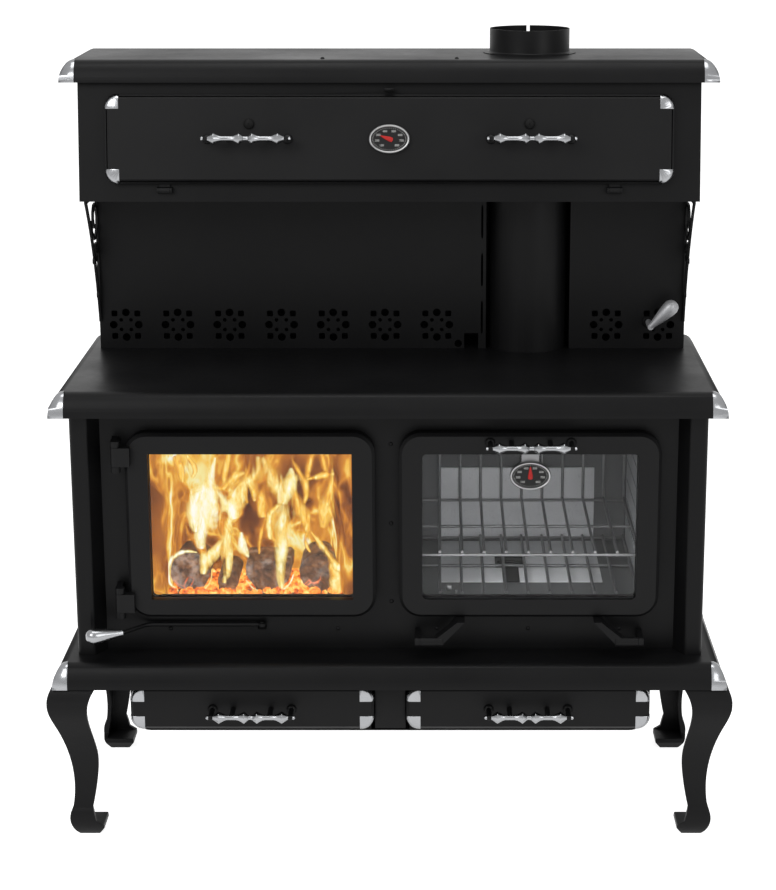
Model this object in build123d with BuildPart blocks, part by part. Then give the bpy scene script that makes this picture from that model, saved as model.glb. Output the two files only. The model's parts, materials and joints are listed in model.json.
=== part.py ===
from build123d import *
from math import atan, atan2, cos, degrees, radians, sin, tan
import os

# A free-standing wood cookstove: a cabinet with a firebox and an oven on a shelf with
# four cabriole legs, two drawers under the shelf, and a warming closet held above the
# cooktop by a backsplash, the flue pipe and two scroll brackets.
#
# Millimetres. +Z is up, +X is to the right seen from the front, and -Y faces the cook.
# The origin lies on the floor under the middle of the stove.

os.makedirs("parts", exist_ok=True)

# ---- Driving dimensions ---------------------------------------------------------------

# Heights, from the floor up
leg_height = 312.0  # floor to the lower edge of the shelf
shelf_drop = 47.0  # height of the shelf's rolled edge
range_height = 519.0  # top of the shelf to the cooktop
cooktop_drop = 45.0
splash_height = 318.0  # cooktop to the floor of the closet
closet_height = 223.0  # closet floor to the lower edge of the cover
cover_drop = 41.0
collar_rise = 47.0  # flue collar above the cover

# Plan
depth = 559.0  # chrome corners in front to the flat back
shelf_width = 1269.0
cooktop_width = 1248.0
cooktop_setback = 24.0  # behind the shelf's front edge
cover_width = 1241.0
cover_setback = 281.0
body_width = 1188.0
closet_width = 1178.0
splash_width = 1166.0
splash_setback = 424.0
edge_run = 28.0  # how far a rolled edge reaches in from the side

# Walls and clearances
plate = 5.0  # shelf, cooktop and cover
sheet = 3.0  # folded panels
liner = 2.0  # oven liner and drawer trays
cap_wall = 1.0  # chrome corner pieces
body_gap = 0.5  # between a closed door or drawer and what it closes on
seat_gap = 0.3  # between pieces of two bodies that nearly touch
fit = 0.08  # radial clearance of a pin in its hole

# Cabinet
post_land = 32.0  # width of the front face of a corner post
post_depth = 37.0  # corner post in front of the front plate
post_slant = 20.0  # how far the post's inner face leans across
post_round = 10.0
plate_setback = 100.0  # front plate behind the shelf's front edge
front_wall = 6.0
rear_inset = 22.0  # cabinet's back ahead of the shelf's back

# Doors of the cabinet
door_bottom = 73.0  # above the shelf
door_round = 42.0
door_edge = 6.0  # bevel of a door's front edge
door_depth = 29.5  # front face to the back edge
door_lip = 8.5  # cast wall in front of the glass
glass_wall = 5.0
glass_lap = 10.0  # glass behind the frame, each side
glass_bottom = 36.0  # above the door's lower edge
glass_height = 285.0
glass_head = 40.0  # door above the glass
gasket = 11.0
gasket_inset = 12.0
firebox_x = -260.0
firebox_door_width = 468.0
firebox_glass_width = 381.0
oven_x = 264.0
oven_door_width = 491.0
oven_glass_width = 404.0
oven_glass_round = 9.0

# Hinges of the cabinet doors
side_pin_out = 15.0  # firebox hinge axis beyond the door's edge
side_pin_y = 35.0  # in front of the front plate
side_pin_r = 5.0
knuckle_r = 9.0
knuckle_length = 36.0
lug_length = 12.0
lower_knuckle = 14.0  # above the door's lower edge
upper_knuckle = 300.0
foot_pin_drop = 40.0  # oven hinge axis below the door's lower edge
foot_pin_y = 54.0  # in front of the front plate
foot_pin_r = 5.0
foot_barrel_r = 9.5
foot_barrel_length = 42.0
foot_barrel_inner = 164.0  # from the middle of the oven door
foot_arm_x = 122.0
foot_arm_width = 14.0
foot_lug = 10.0

# Firebox and oven
firebox_side = 21.5  # firebox beyond the glass, each side
firebox_beyond = 43.5  # above and below the glass
firebox_rear_gap = 47.0  # to the rear panel
firebox_wall = 5.0
brick = 32.0
brick_joint = 1.0
brick_columns = 4
brick_rows = 3
brick_courses = 2
baffle = 20.0
smoke_gap = 83.5  # above the baffle
smoke_slot_run = 120.0
smoke_slot_drop = 40.0
grate_bar = 9.0
grate_slot = 9.0
log_r = 40.0  # left and right logs, which carry the upper ones
small_log_r = 21.0
split_log_r = 46.0
upper_log_r = 31.0
top_log_r = 26.0
log_setback = 30.0  # ends of the lower logs behind the front plate
log_rear_gap = 33.0  # to the rear bricks
upper_log_share = 0.8  # of the bed's width
oven_side = 18.0  # oven beyond the glass, each side
oven_beyond = 15.5  # above and below the glass
oven_rear_gap = 37.0  # to the rear panel
lower_rack = 8.0  # above the oven's floor
upper_rack = 89.5
rack_rail = 9.0
rack_wire = 3.0  # radius
rack_wires = 9

# Turned handles and rods
sides = 8  # of a small turned piece, which is drawn with flats
grip_bar = 4.6  # radius
grip_bead = 11.5
grip_bead_half = 15.0
grip_inner_bead = 12.3
grip_outer_bead = 59.8
grip_tip = 4.2
grip_half = 85.0
grip_standoff = 44.0  # face to the middle of the bar
post_r = 5.0
post_spread = 36.0

# Thermometers
dial_width = 77.0
dial_height = 54.5
dial_case = 10.0
dial_rim = 4.5
dial_recess = 4.0
pointer_length = 17.0
pointer_width = 5.0
pointer_wall = 1.5
pointer_pin_r = 1.5
closet_pointer_angle = 70.0  # degrees left of upright
strap_width = 33.0
strap_wall = 3.0

# Drawers
housing_width = 996.0
housing_height = 110.5  # below the shelf's lower edge
housing_rear_inset = 43.5  # ahead of the shelf's back
housing_setback = 74.5
housing_round = 38.0
divider_width = 66.0
tray_side_gap = 4.0
tray_height = 76.0
tray_rear_gap = 37.0
drawer_travel = 300.0
front_height = 84.0
front_thick = 18.0
front_round = 25.0
front_edge = 6.0
front_lap = 6.0  # front beyond the housing's opening, each side
corner_reach = 26.0

# Legs
knee_out = 12.5  # knee beyond the side of the shelf
leg_reach = 96.0  # knee to the inner tip of the foot
leg_billet = 140.0
leg_wall = 7.0
leg_sole = 24.0
leg_flange = 8.0
pad = 70.0  # block under the shelf's plate that a leg is bolted to
bolt_r = 5.0
bolt_grip = 22.0  # thread inside the pad
bolt_head = 7.0

# Backsplash and flue
pipe_x = 270.0
pipe_back_gap = 20.5  # pipe to the flat back
flue_r = 76.2  # inside of the pipe
pipe_wall = 1.5
flue_ledge = 3.0  # cover inside the collar, on which a stovepipe comes to rest
pipe_gap_half = 83.0  # half the opening between the two panels
collar_flange = 12.0
collar_bend = 3.0
collar_slot = 6.0
rosette_height = 48.0  # middle of a rosette above the cooktop
rosette_edge = 52.5  # first rosette from the panel's outer edge
rosette_pitch = 103.3
rosette_count = 7
right_rosette_count = 2
petal_r = 8.0
petal_ring = 25.0
corner_petal = 12.0
corner_petal_out = 22.8
seed_r = 4.7
seed_out = 9.8
slot_width = 4.0
slot_length = 66.0
slot_pitch = 96.0
slot_inset = 8.0
notch_width = 28.0
notch_height = 31.0
notch_inset = 15.0
notch_hole_r = 7.5
notch_hole_up = 10.0
notch_hole_out = 24.0

# Warming closet
closet_lean = 8.2  # degrees that the front leans back
closet_front_in = 269.0  # closet floor's front edge behind the shelf's front edge
closet_door_width = 1073.0
closet_door_height = 167.0
closet_door_up = 34.0  # up the slope from the closet's floor
closet_door_depth = 22.0
closet_door_round = 24.0
closet_door_edge = 8.0
closet_handle_x = 267.0
closet_hinge_x = 426.0
closet_pin_r = 3.0
closet_knuckle_r = 6.0
closet_knuckle = 20.0
closet_pin_down = 12.0  # below the door's lower edge, down the slope
latch_width = 18.0

# Scroll brackets
bracket_wall = 5.0
bracket_drop = 262.0  # below the closet floor
bracket_reach = 140.0  # in front of the backsplash
bracket_band = 8.0

# Controls
damper_x = 511.0
damper_height = 54.0  # above the cooktop
damper_standoff = 50.0
damper_angle = 45.0  # of the handle at rest
lever_pin_x = -244.0
lever_drop = 20.0  # below the doors' lower edge
lever_pin_y = 11.0  # in front of the front plate
lever_pin_r = 4.0
lever_eye_r = 8.0
lever_rod_r = 4.0
lever_bend_x = -463.0
lever_tip_x = -505.0
lever_tip_y = 60.0  # in front of the front plate
pull_height = 460.0  # above the shelf
pull_y = -124.0
pull_rod_r = 4.0
pull_knob_r = 11.0
pull_reach = 52.0  # out from the side panel
pull_inside = 110.0
drop_length = 70.0  # teardrop knobs
drop_small = 6.0
drop_large = 15.0

# ---- Places worked out from the sizes ---------------------------------------------------

back = depth / 2
shelf_front = cap_wall - back
cooktop_front = shelf_front + cooktop_setback
cover_front = shelf_front + cover_setback
shelf_top = leg_height + shelf_drop
cooktop_top = shelf_top + range_height
cooktop_under = cooktop_top - plate
closet_floor = cooktop_top + splash_height
cover_top = closet_floor + closet_height + cover_drop
cover_under = cover_top - plate
plate_y = shelf_front + plate_setback
door_y = plate_y - body_gap - door_depth
body_back = back - rear_inset
door_height = glass_bottom + glass_height + glass_head
door_low = shelf_top + door_bottom
splash_y = shelf_front + splash_setback
pipe_r = flue_r + pipe_wall
pipe_y = back - pipe_back_gap - pipe_r
glass_low = door_low + glass_bottom
glass_mid = glass_low + glass_height / 2
door_mid = door_low + door_height / 2


def save(piece, name):
    """Label a finished piece and write it as its own file."""
    piece.part.label = name
    export_step(piece.part, f"parts/{name}.step")


# ---- Shapes that several pieces share ---------------------------------------------------


def rolled_block(width, front, top, drop, grow=0.0):
    """Block under a flat top whose front and side edges roll down in two tangent arcs."""
    side = width / 2 - edge_run
    low = top - drop
    small = 0.7 * edge_run
    large = (edge_run**2 + (drop - small) ** 2 - small**2) / (2 * (edge_run - small))
    bend = degrees(atan2(drop - small, large - edge_run))
    reach = side + edge_run + grow
    with BuildPart() as block:
        with BuildSketch(Plane.XZ.offset(-back)):
            with BuildLine():
                CenterArc((side + edge_run - large, low), large + grow, 0, bend)
                CenterArc((side, top - small), small + grow, bend, 90 - bend)
                Line((side, top + grow), (-side, top + grow))
                CenterArc((-side, top - small), small + grow, 90, 90 - bend)
                CenterArc((large - side - edge_run, low), large + grow, 180 - bend, bend)
                Line((-reach, low), (reach, low))
            make_face()
        extrude(amount=back - front + grow)
        with BuildSketch(Plane.YZ.offset(-reach)):
            with BuildLine():
                CenterArc((front + large, low), large + grow, 180 - bend, bend)
                CenterArc((front + edge_run, top - small), small + grow, 90, 90 - bend)
                Polyline((front + edge_run, top + grow), (back, top + grow), (back, low), (front - grow, low))
            make_face()
        extrude(amount=2 * reach, mode=Mode.INTERSECT)
    return block.part


def rolled_cavity(width, front, top, drop):
    """Hollow under a rolled plate that leaves the plate's wall."""
    with BuildPart() as cavity:
        add(rolled_block(width, front, top, drop, -plate))
        with Locations((0, back, top - drop)):
            Box(width, 2 * plate, 2 * drop, mode=Mode.SUBTRACT)
    return cavity.part


def corner_caps(width, front, top, drop):
    """Two chrome pieces that wrap the rolled front corners of a plate."""
    with BuildPart() as caps:
        add(rolled_block(width, front, top, drop, cap_wall))
        add(rolled_block(width, front, top, drop), mode=Mode.SUBTRACT)
        with Locations((width / 2 + cap_wall, front - cap_wall, top - drop)):
            Box(edge_run + cap_wall, edge_run + cap_wall, drop + cap_wall,
                align=(Align.MAX, Align.MIN, Align.MIN), mode=Mode.INTERSECT)
        mirror(about=Plane.YZ)
    return caps.part


def soft_front(plane, width, height, radius, thick, edge, grow=0.0):
    """Raised panel with round corners and a bevelled front edge, on a plane that faces out."""
    with BuildPart() as panel:
        with BuildSketch(plane):
            RectangleRounded(width + 2 * grow, height + 2 * grow, radius + grow)
        extrude(amount=thick + grow)
        chamfer(panel.faces().sort_by(Axis(plane.origin, plane.z_dir))[-1].edges(),
                edge + (2 - 2**0.5) * grow)
    return panel.part


def front_corners(plane, width, height, radius, thick, edge):
    """Four chrome pieces over the corners of a raised panel."""
    out = corner_reach / 2
    places = [(sx * (width / 2 - out), sy * (height / 2 - out)) for sx in (-1, 1) for sy in (-1, 1)]
    with BuildPart() as blocks:
        with BuildSketch(plane):
            with Locations(*places):
                Rectangle(corner_reach + 2 * cap_wall, corner_reach + 2 * cap_wall)
        extrude(amount=thick + 2 * cap_wall)
    with BuildPart() as pieces:
        add(soft_front(plane, width, height, radius, thick, edge, cap_wall))
        add(soft_front(plane, width, height, radius, thick, edge), mode=Mode.SUBTRACT)
        add(blocks.part, mode=Mode.INTERSECT)
    return pieces.part


def turned(plane, stations):
    """Small turned piece along a plane's normal, cut to one outline from every side.

    The stations are pairs of distance and radius. The flats lie at the radius.
    """
    outline = list(stations) + [(run, -radius) for run, radius in reversed(stations)]
    widest = 2 * max(radius for run, radius in stations)
    with BuildPart() as piece:
        for index in range(sides // 2):
            angle = radians(360 / sides * index)
            across = plane.x_dir * cos(angle) + plane.y_dir * sin(angle)
            with BuildSketch(Plane(plane.origin, x_dir=plane.z_dir, z_dir=across)):
                with BuildLine():
                    Polyline(*outline, close=True)
                make_face()
            extrude(amount=widest, both=True, mode=Mode.INTERSECT if index else Mode.ADD)
    return piece.part


def turned_grip(place):
    """Handle bar with four double-cone beads and small button tips, turned about the X direction."""
    neck = grip_tip / 2
    side = [(grip_inner_bead, grip_bead), (grip_inner_bead + grip_bead_half, grip_bar),
            (grip_outer_bead - grip_bead_half, grip_bar), (grip_outer_bead, grip_bead),
            (grip_outer_bead + grip_bead_half, neck), (grip_half - 1.6 * grip_tip, neck),
            (grip_half - grip_tip, grip_tip), (grip_half - neck, grip_tip), (grip_half, neck)]
    stations = [(-run, radius) for run, radius in reversed(side)] + [(0, grip_bar - 0.5)] + side
    return turned(Plane(place.position, x_dir=(0, 1, 0), z_dir=(1, 0, 0)), stations)


def handle_posts(plane, reach):
    """Two round posts that stand on a plane and end in the middle of the bar."""
    with BuildPart() as posts:
        with BuildSketch(plane):
            with Locations((-post_spread, 0), (post_spread, 0)):
                RegularPolygon(post_r, sides)
        extrude(amount=reach)
    return posts.part


def bored_posts(plane):
    """The posts of a handle, cut to sit round its bar."""
    centre = Location(plane.origin + plane.z_dir * grip_standoff)
    with BuildPart() as posts:
        add(handle_posts(plane, grip_standoff))
        add(turned_grip(centre), mode=Mode.SUBTRACT)
    return posts.part


def teardrop(plane):
    """Solid drop along a plane's normal, small at its root and large at its end."""
    climb = drop_length - drop_large
    return turned(plane, ((0, drop_small), (climb - 0.3 * drop_large, 0.95 * drop_large), (climb, drop_large),
                          (climb + 0.45 * drop_large, 0.88 * drop_large),
                          (climb + 0.8 * drop_large, 0.58 * drop_large), (drop_length, 0.2 * drop_large)))


def dial_housing(plane):
    """Oval thermometer case with a raised rim and a hole for the pointer's spindle."""
    with BuildPart() as case:
        with BuildSketch(plane):
            Ellipse(dial_width / 2, dial_height / 2)
        extrude(amount=dial_case)
        with BuildSketch(plane.offset(dial_case)):
            Ellipse(dial_width / 2 - dial_rim, dial_height / 2 - dial_rim)
        extrude(amount=-dial_recess, mode=Mode.SUBTRACT)
        with BuildSketch(plane.offset(dial_case - dial_recess)):
            Circle(pointer_pin_r + fit)
        extrude(amount=-dial_recess, mode=Mode.SUBTRACT)
    return case.part


def dial_pointer(plane, angle):
    """Pointer turned to an angle from upright, on its own spindle in front of the dial."""
    face = plane.offset(dial_case - dial_recess + seat_gap)
    across = face.x_dir * cos(radians(angle)) + face.y_dir * sin(radians(angle))
    with BuildPart() as pointer:
        with BuildSketch(Plane(face.origin, x_dir=across, z_dir=face.z_dir)):
            with BuildLine():
                Polyline((-pointer_width, 0), (-pointer_width / 4, pointer_length),
                         (pointer_width / 4, pointer_length), (pointer_width, 0), (-pointer_width, 0))
            make_face()
            RegularPolygon(pointer_width, sides)
        extrude(amount=pointer_wall)
        with BuildSketch(face):
            Circle(pointer_pin_r)
        extrude(amount=-dial_recess)
    return pointer.part


# ---- Base shelf --------------------------------------------------------------------------

pad_x = shelf_width / 2 - edge_run - pad / 2
pad_y = back - plate - edge_run - pad / 2
pad_places = [(sx * pad_x, sy * pad_y) for sx in (-1, 1) for sy in (-1, 1)]

with BuildPart() as base_shelf:
    add(rolled_block(shelf_width, shelf_front, shelf_top, shelf_drop))
    add(rolled_cavity(shelf_width, shelf_front, shelf_top, shelf_drop), mode=Mode.SUBTRACT)
    with Locations(*[(x, y, shelf_top - plate) for x, y in pad_places]):
        Box(pad, pad, shelf_drop - plate, align=(Align.CENTER, Align.CENTER, Align.MAX))
    with BuildSketch(Plane.XY.offset(leg_height)):
        with Locations(*pad_places):
            RegularPolygon(bolt_r + fit, sides)
    extrude(amount=bolt_grip + 2, mode=Mode.SUBTRACT)
save(base_shelf, "base_shelf")

with BuildPart() as shelf_corner_caps:
    add(corner_caps(shelf_width, shelf_front, shelf_top, shelf_drop))
save(shelf_corner_caps, "shelf_corner_caps")

# ---- Legs ------------------------------------------------------------------------------

knee_x = shelf_width / 2 + knee_out


def cabriole_outline(plane):
    """Leg seen square on: local x is in from the knee, local y is height."""
    h = leg_height
    w = leg_reach / 96
    with BuildSketch(plane) as outline:
        with BuildLine():
            Spline((8 * w, h), (0, 0.885 * h), (15 * w, 0.73 * h), (33 * w, 0.54 * h),
                   (40 * w, 0.33 * h), (36 * w, 0.19 * h))
            Spline((36 * w, 0.19 * h), (30 * w, 0.125 * h), (35 * w, 0.05 * h), (46 * w, 0))
            Polyline((46 * w, 0), (84 * w, 0), (95 * w, 0.05 * h), (94 * w, 0.075 * h),
                     (80 * w, 0.1 * h), (74 * w, 0.19 * h))
            Spline((74 * w, 0.19 * h), (84 * w, 0.36 * h), (88 * w, 0.54 * h),
                   (75 * w, 0.85 * h), (92 * w, h))
            Line((92 * w, h), (8 * w, h))
        make_face()
    return outline.sketch


def hollow_outline(plane):
    """Hollow behind the walls of a leg, open on the inner side, with flat faces inside."""
    top = leg_height - leg_flange
    h = leg_height
    w = leg_reach / 96
    wall = leg_wall
    with BuildSketch(plane) as outline:
        with BuildLine():
            Polyline((8 * w + wall, top), (1 * w + wall, 0.885 * h), (16 * w + wall, 0.73 * h),
                     (34 * w + wall, 0.54 * h), (41 * w + wall, 0.33 * h), (37 * w + wall, 0.19 * h),
                     (32 * w + wall, leg_sole), (leg_billet, leg_sole), (leg_billet, top),
                     (8 * w + wall, top))
        make_face()
    return outline.sketch


def sawn_both_ways(outline):
    """Billet sawn to one outline from the front and from the side."""
    with BuildPart() as billet:
        extrude(outline(Plane((-knee_x, -back, 0), x_dir=(1, 0, 0), z_dir=(0, -1, 0))), amount=-leg_billet)
        extrude(outline(Plane((-knee_x, -back, 0), x_dir=(0, 1, 0), z_dir=(1, 0, 0))), amount=leg_billet,
                mode=Mode.INTERSECT)
    return billet.part


with BuildPart() as leg_front_left:
    add(sawn_both_ways(cabriole_outline))
    add(sawn_both_ways(hollow_outline), mode=Mode.SUBTRACT)
    with BuildSketch(Plane.XY.offset(leg_height)):
        with Locations((-pad_x, -pad_y)):
            RegularPolygon(bolt_r + fit, sides)
    extrude(amount=-leg_flange, mode=Mode.SUBTRACT)
save(leg_front_left, "leg_front_left")

with BuildPart() as leg_front_right:
    mirror(leg_front_left.part, about=Plane.YZ)
save(leg_front_right, "leg_front_right")

with BuildPart() as leg_rear_left:
    mirror(leg_front_left.part, about=Plane.XZ)
save(leg_rear_left, "leg_rear_left")

with BuildPart() as leg_rear_right:
    mirror(leg_front_right.part, about=Plane.XZ)
save(leg_rear_right, "leg_rear_right")

with BuildPart() as leg_bolts:
    with BuildSketch(Plane.XY.offset(leg_height - leg_flange)):
        with Locations(*pad_places):
            RegularPolygon(1.8 * bolt_r, 6)
    extrude(amount=-bolt_head)
    with BuildSketch(Plane.XY.offset(leg_height - leg_flange)):
        with Locations(*pad_places):
            RegularPolygon(bolt_r, sides)
    extrude(amount=leg_flange + bolt_grip)
save(leg_bolts, "leg_bolts")

# ---- Cabinet ----------------------------------------------------------------------------

post_x = body_width / 2 - post_land
plate_half = post_x - post_slant
post_y = plate_y - post_depth

with BuildPart() as right_side_panel:
    with BuildSketch(Plane.XY.offset(shelf_top)):
        with BuildLine() as fold:
            FilletPolyline((plate_half, plate_y), (post_x, post_y), (body_width / 2, post_y),
                           (body_width / 2, body_back), radius=post_round)
            offset(amount=sheet, side=Side.LEFT, closed=True)
        make_face()
    extrude(amount=cooktop_under - shelf_top)
    with BuildPart(mode=Mode.PRIVATE) as pull_hole:
        with BuildSketch(Plane.YZ.offset(-body_width)):
            with Locations((pull_y, shelf_top + pull_height)):
                Circle(pull_rod_r + fit)
        extrude(amount=body_width)
save(right_side_panel, "right_side_panel")

with BuildPart() as left_side_panel:
    mirror(right_side_panel.part, about=Plane.YZ)
    add(pull_hole.part, mode=Mode.SUBTRACT)
save(left_side_panel, "left_side_panel")

with BuildPart() as rear_panel:
    with Locations((0, body_back, shelf_top)):
        Box(body_width - 2 * sheet, sheet, cooktop_under - shelf_top,
            align=(Align.CENTER, Align.MAX, Align.MIN))
save(rear_panel, "rear_panel")

lever_z = door_low - lever_drop
lever_y = plate_y - lever_pin_y
tab_wall = 3.0
tab_z = lever_z - lever_rod_r - seat_gap

with BuildPart() as front_plate:
    with BuildSketch(Plane.XZ.offset(-plate_y)):
        with Locations((0, (shelf_top + cooktop_under) / 2)):
            Rectangle(2 * plate_half, cooktop_under - shelf_top)
        with Locations((firebox_x, glass_mid)):
            RectangleRounded(firebox_glass_width, glass_height, 8, mode=Mode.SUBTRACT)
        with Locations((oven_x, glass_mid)):
            RectangleRounded(oven_glass_width, glass_height, 8, mode=Mode.SUBTRACT)
    extrude(amount=-front_wall)
    with Locations((lever_pin_x, plate_y, tab_z)):
        Box(2 * lever_eye_r, lever_pin_y + lever_eye_r, tab_wall, align=(Align.CENTER, Align.MAX, Align.MAX))
    with BuildSketch(Plane.XY.offset(tab_z)):
        with Locations((lever_pin_x, lever_y)):
            Circle(lever_pin_r)
    extrude(amount=2 * (lever_rod_r + seat_gap) + 1)
save(front_plate, "front_plate")

with BuildPart() as cooktop:
    add(rolled_block(cooktop_width, cooktop_front, cooktop_top, cooktop_drop))
    add(rolled_cavity(cooktop_width, cooktop_front, cooktop_top, cooktop_drop), mode=Mode.SUBTRACT)
    with BuildSketch(Plane.XY.offset(cooktop_top)):
        with Locations((pipe_x, pipe_y)):
            Circle(flue_r)
    extrude(amount=-plate, mode=Mode.SUBTRACT)
save(cooktop, "cooktop")

with BuildPart() as cooktop_corner_caps:
    add(corner_caps(cooktop_width, cooktop_front, cooktop_top, cooktop_drop))
save(cooktop_corner_caps, "cooktop_corner_caps")

# ---- Firebox ----------------------------------------------------------------------------

box_front = plate_y + front_wall
firebox_back = body_back - sheet - firebox_rear_gap
firebox_depth = firebox_back - box_front
firebox_width = firebox_glass_width + 2 * firebox_side
firebox_height = glass_height + 2 * firebox_beyond
firebox_low = glass_mid - firebox_height / 2
fire_w = firebox_width - 2 * firebox_wall
fire_left = firebox_x - fire_w / 2
fire_floor = firebox_low + firebox_wall
fire_rear = firebox_back - firebox_wall

with BuildPart() as firebox_shell:
    with Locations((firebox_x, box_front, firebox_low)):
        Box(firebox_width, firebox_depth, firebox_height, align=(Align.CENTER, Align.MIN, Align.MIN))
    with Locations((firebox_x, box_front, fire_floor)):
        Box(fire_w, firebox_depth - firebox_wall, firebox_height - 2 * firebox_wall,
            align=(Align.CENTER, Align.MIN, Align.MIN), mode=Mode.SUBTRACT)
    with Locations((firebox_x + fire_w / 2, fire_rear - brick, firebox_low + firebox_height - firebox_wall)):
        Box(3 * firebox_wall, smoke_slot_run, smoke_slot_drop, align=(Align.CENTER, Align.MAX, Align.MAX),
            mode=Mode.SUBTRACT)
save(firebox_shell, "firebox_shell")

cell_x = (fire_w - brick_joint * (brick_columns - 1)) / brick_columns
cell_y = (firebox_depth - firebox_wall - brick_joint * (brick_rows - 1)) / brick_rows
wall_low = fire_floor + brick + brick_joint / 2
baffle_low = fire_floor + firebox_height - 2 * firebox_wall - smoke_gap - baffle
brick_height = (baffle_low - wall_low) / brick_courses - brick_joint
wall_y = (firebox_depth - firebox_wall - brick - brick_joint * brick_rows) / brick_rows

with BuildPart() as firebricks:
    for column in range(brick_columns):
        for row in range(brick_rows):
            if row == 1 and column in (1, 2):
                continue
            with Locations((fire_left + column * (cell_x + brick_joint),
                            box_front + row * (cell_y + brick_joint), fire_floor)):
                Box(cell_x, cell_y, brick, align=Align.MIN)
    for course in range(brick_courses):
        course_low = wall_low + course * (brick_height + brick_joint)
        for column in range(brick_columns):
            with Locations((fire_left + column * (cell_x + brick_joint), fire_rear, course_low)):
                Box(cell_x, brick, brick_height, align=(Align.MIN, Align.MAX, Align.MIN))
        for row in range(brick_rows):
            with Locations((fire_left, box_front + row * (wall_y + brick_joint), course_low),
                           (fire_left + fire_w - brick, box_front + row * (wall_y + brick_joint), course_low)):
                Box(brick, wall_y, brick_height, align=Align.MIN)
save(firebricks, "firebricks")

grate_w = 2 * cell_x + brick_joint - 2
grate_slots = int((grate_w - grate_bar) // (grate_bar + grate_slot))

with BuildPart() as fire_grate:
    with BuildSketch(Plane.XY.offset(fire_floor)):
        with Locations((firebox_x, box_front + 1.5 * cell_y + brick_joint)):
            Rectangle(grate_w, cell_y - 2)
            with GridLocations(grate_bar + grate_slot, 1, grate_slots, 1):
                Rectangle(grate_slot, cell_y - 4 * grate_bar, mode=Mode.SUBTRACT)
    extrude(amount=brick)
save(fire_grate, "fire_grate")

with BuildPart() as baffle_plate:
    with Locations((firebox_x, fire_rear, baffle_low)):
        Box(fire_w - 2, firebox_depth - firebox_wall - 2 * brick, baffle,
            align=(Align.CENTER, Align.MAX, Align.MIN))
save(baffle_plate, "baffle_plate")

log_low = fire_floor + brick + seat_gap
bed_half = fire_w / 2 - brick
bed_front = box_front + log_setback
bed_depth = firebox_depth - firebox_wall - brick - log_setback - log_rear_gap
low_logs = ((log_r, False), (small_log_r, False), (split_log_r, True), (log_r, False))
log_space = (2 * bed_half - sum(2 * radius for radius, is_split in low_logs)) / (len(low_logs) + 1)


def log(plane, length, radius, is_split):
    """Log along a plane's normal, with its split face on top if it has one."""
    with BuildPart() as wood:
        with BuildSketch(plane):
            RegularPolygon(radius, sides)
            if is_split:
                with Locations((0, 0.35 * radius)):
                    Rectangle(3 * radius, 2 * radius, align=(Align.CENTER, Align.MIN), mode=Mode.SUBTRACT)
        extrude(amount=length)
    return wood.part


# Four logs lie front to back with their ends to the glass, and two lie across them
with BuildPart() as firewood:
    log_x = firebox_x - bed_half
    for radius, is_split in low_logs:
        log_x += log_space + radius
        end = Plane((log_x, bed_front + bed_depth, log_low + radius), x_dir=(1, 0, 0), z_dir=(0, -1, 0))
        add(log(end, bed_depth, radius, is_split))
        log_x += radius
    for radius, share in ((upper_log_r, 0.72), (top_log_r, 0.36)):
        reach = 2 * bed_half * upper_log_share
        middle = log_low + 2 * log_r + seat_gap + radius
        add(log(Plane.YZ.offset(firebox_x - reach / 2) * Location((bed_front + share * bed_depth, middle, 0)),
                reach, radius, False))
save(firewood, "firewood")

# ---- Oven -------------------------------------------------------------------------------

oven_width = oven_glass_width + 2 * oven_side
oven_height = glass_height + 2 * oven_beyond
oven_back = body_back - sheet - oven_rear_gap
oven_depth = oven_back - box_front
oven_low = glass_mid - oven_height / 2
oven_floor = oven_low + liner

with BuildPart() as oven_box:
    with Locations((oven_x, box_front, oven_low)):
        Box(oven_width, oven_depth, oven_height, align=(Align.CENTER, Align.MIN, Align.MIN))
    with Locations((oven_x, box_front, oven_floor)):
        Box(oven_width - 2 * liner, oven_depth - liner, oven_height - 2 * liner,
            align=(Align.CENTER, Align.MIN, Align.MIN), mode=Mode.SUBTRACT)
    for side in (-1, 1):
        with Locations(*[(oven_x + side * (oven_width / 2 - liner), box_front, oven_floor + level - rack_wire)
                         for level in (lower_rack, upper_rack)]):
            Box(rack_rail, oven_depth - liner, liner,
                align=(Align.MAX if side > 0 else Align.MIN, Align.MIN, Align.MAX))
save(oven_box, "oven_box")

rack_w = oven_width - 2 * liner - 2 * rack_wire - 2
rack_front = box_front + 2 * rack_wire
rack_d = oven_depth - liner - 4 * rack_wire - 2
wire_rise = 2 * rack_wire * cos(radians(30))  # hexagonal wires lie on the cross bars, flat on flat

with BuildPart() as oven_racks:
    for level in (lower_rack, upper_rack):
        rack_z = oven_floor + level
        with BuildSketch(Plane.YZ.offset(oven_x - rack_w / 2)):
            with Locations(*[(rack_front + share * rack_d, rack_z) for share in (0, 0.5, 1)]):
                RegularPolygon(rack_wire, 6)
        extrude(amount=rack_w)
        with BuildSketch(Plane.XZ.offset(-rack_front + rack_wire)):
            with Locations((oven_x, rack_z + wire_rise)):
                with GridLocations((rack_w - 2 * rack_wire) / (rack_wires + 1), 1, rack_wires + 2, 1):
                    RegularPolygon(rack_wire, 6)
        extrude(amount=-rack_d - 2 * rack_wire)
save(oven_racks, "oven_racks")

# ---- Cabinet doors ----------------------------------------------------------------------


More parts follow.
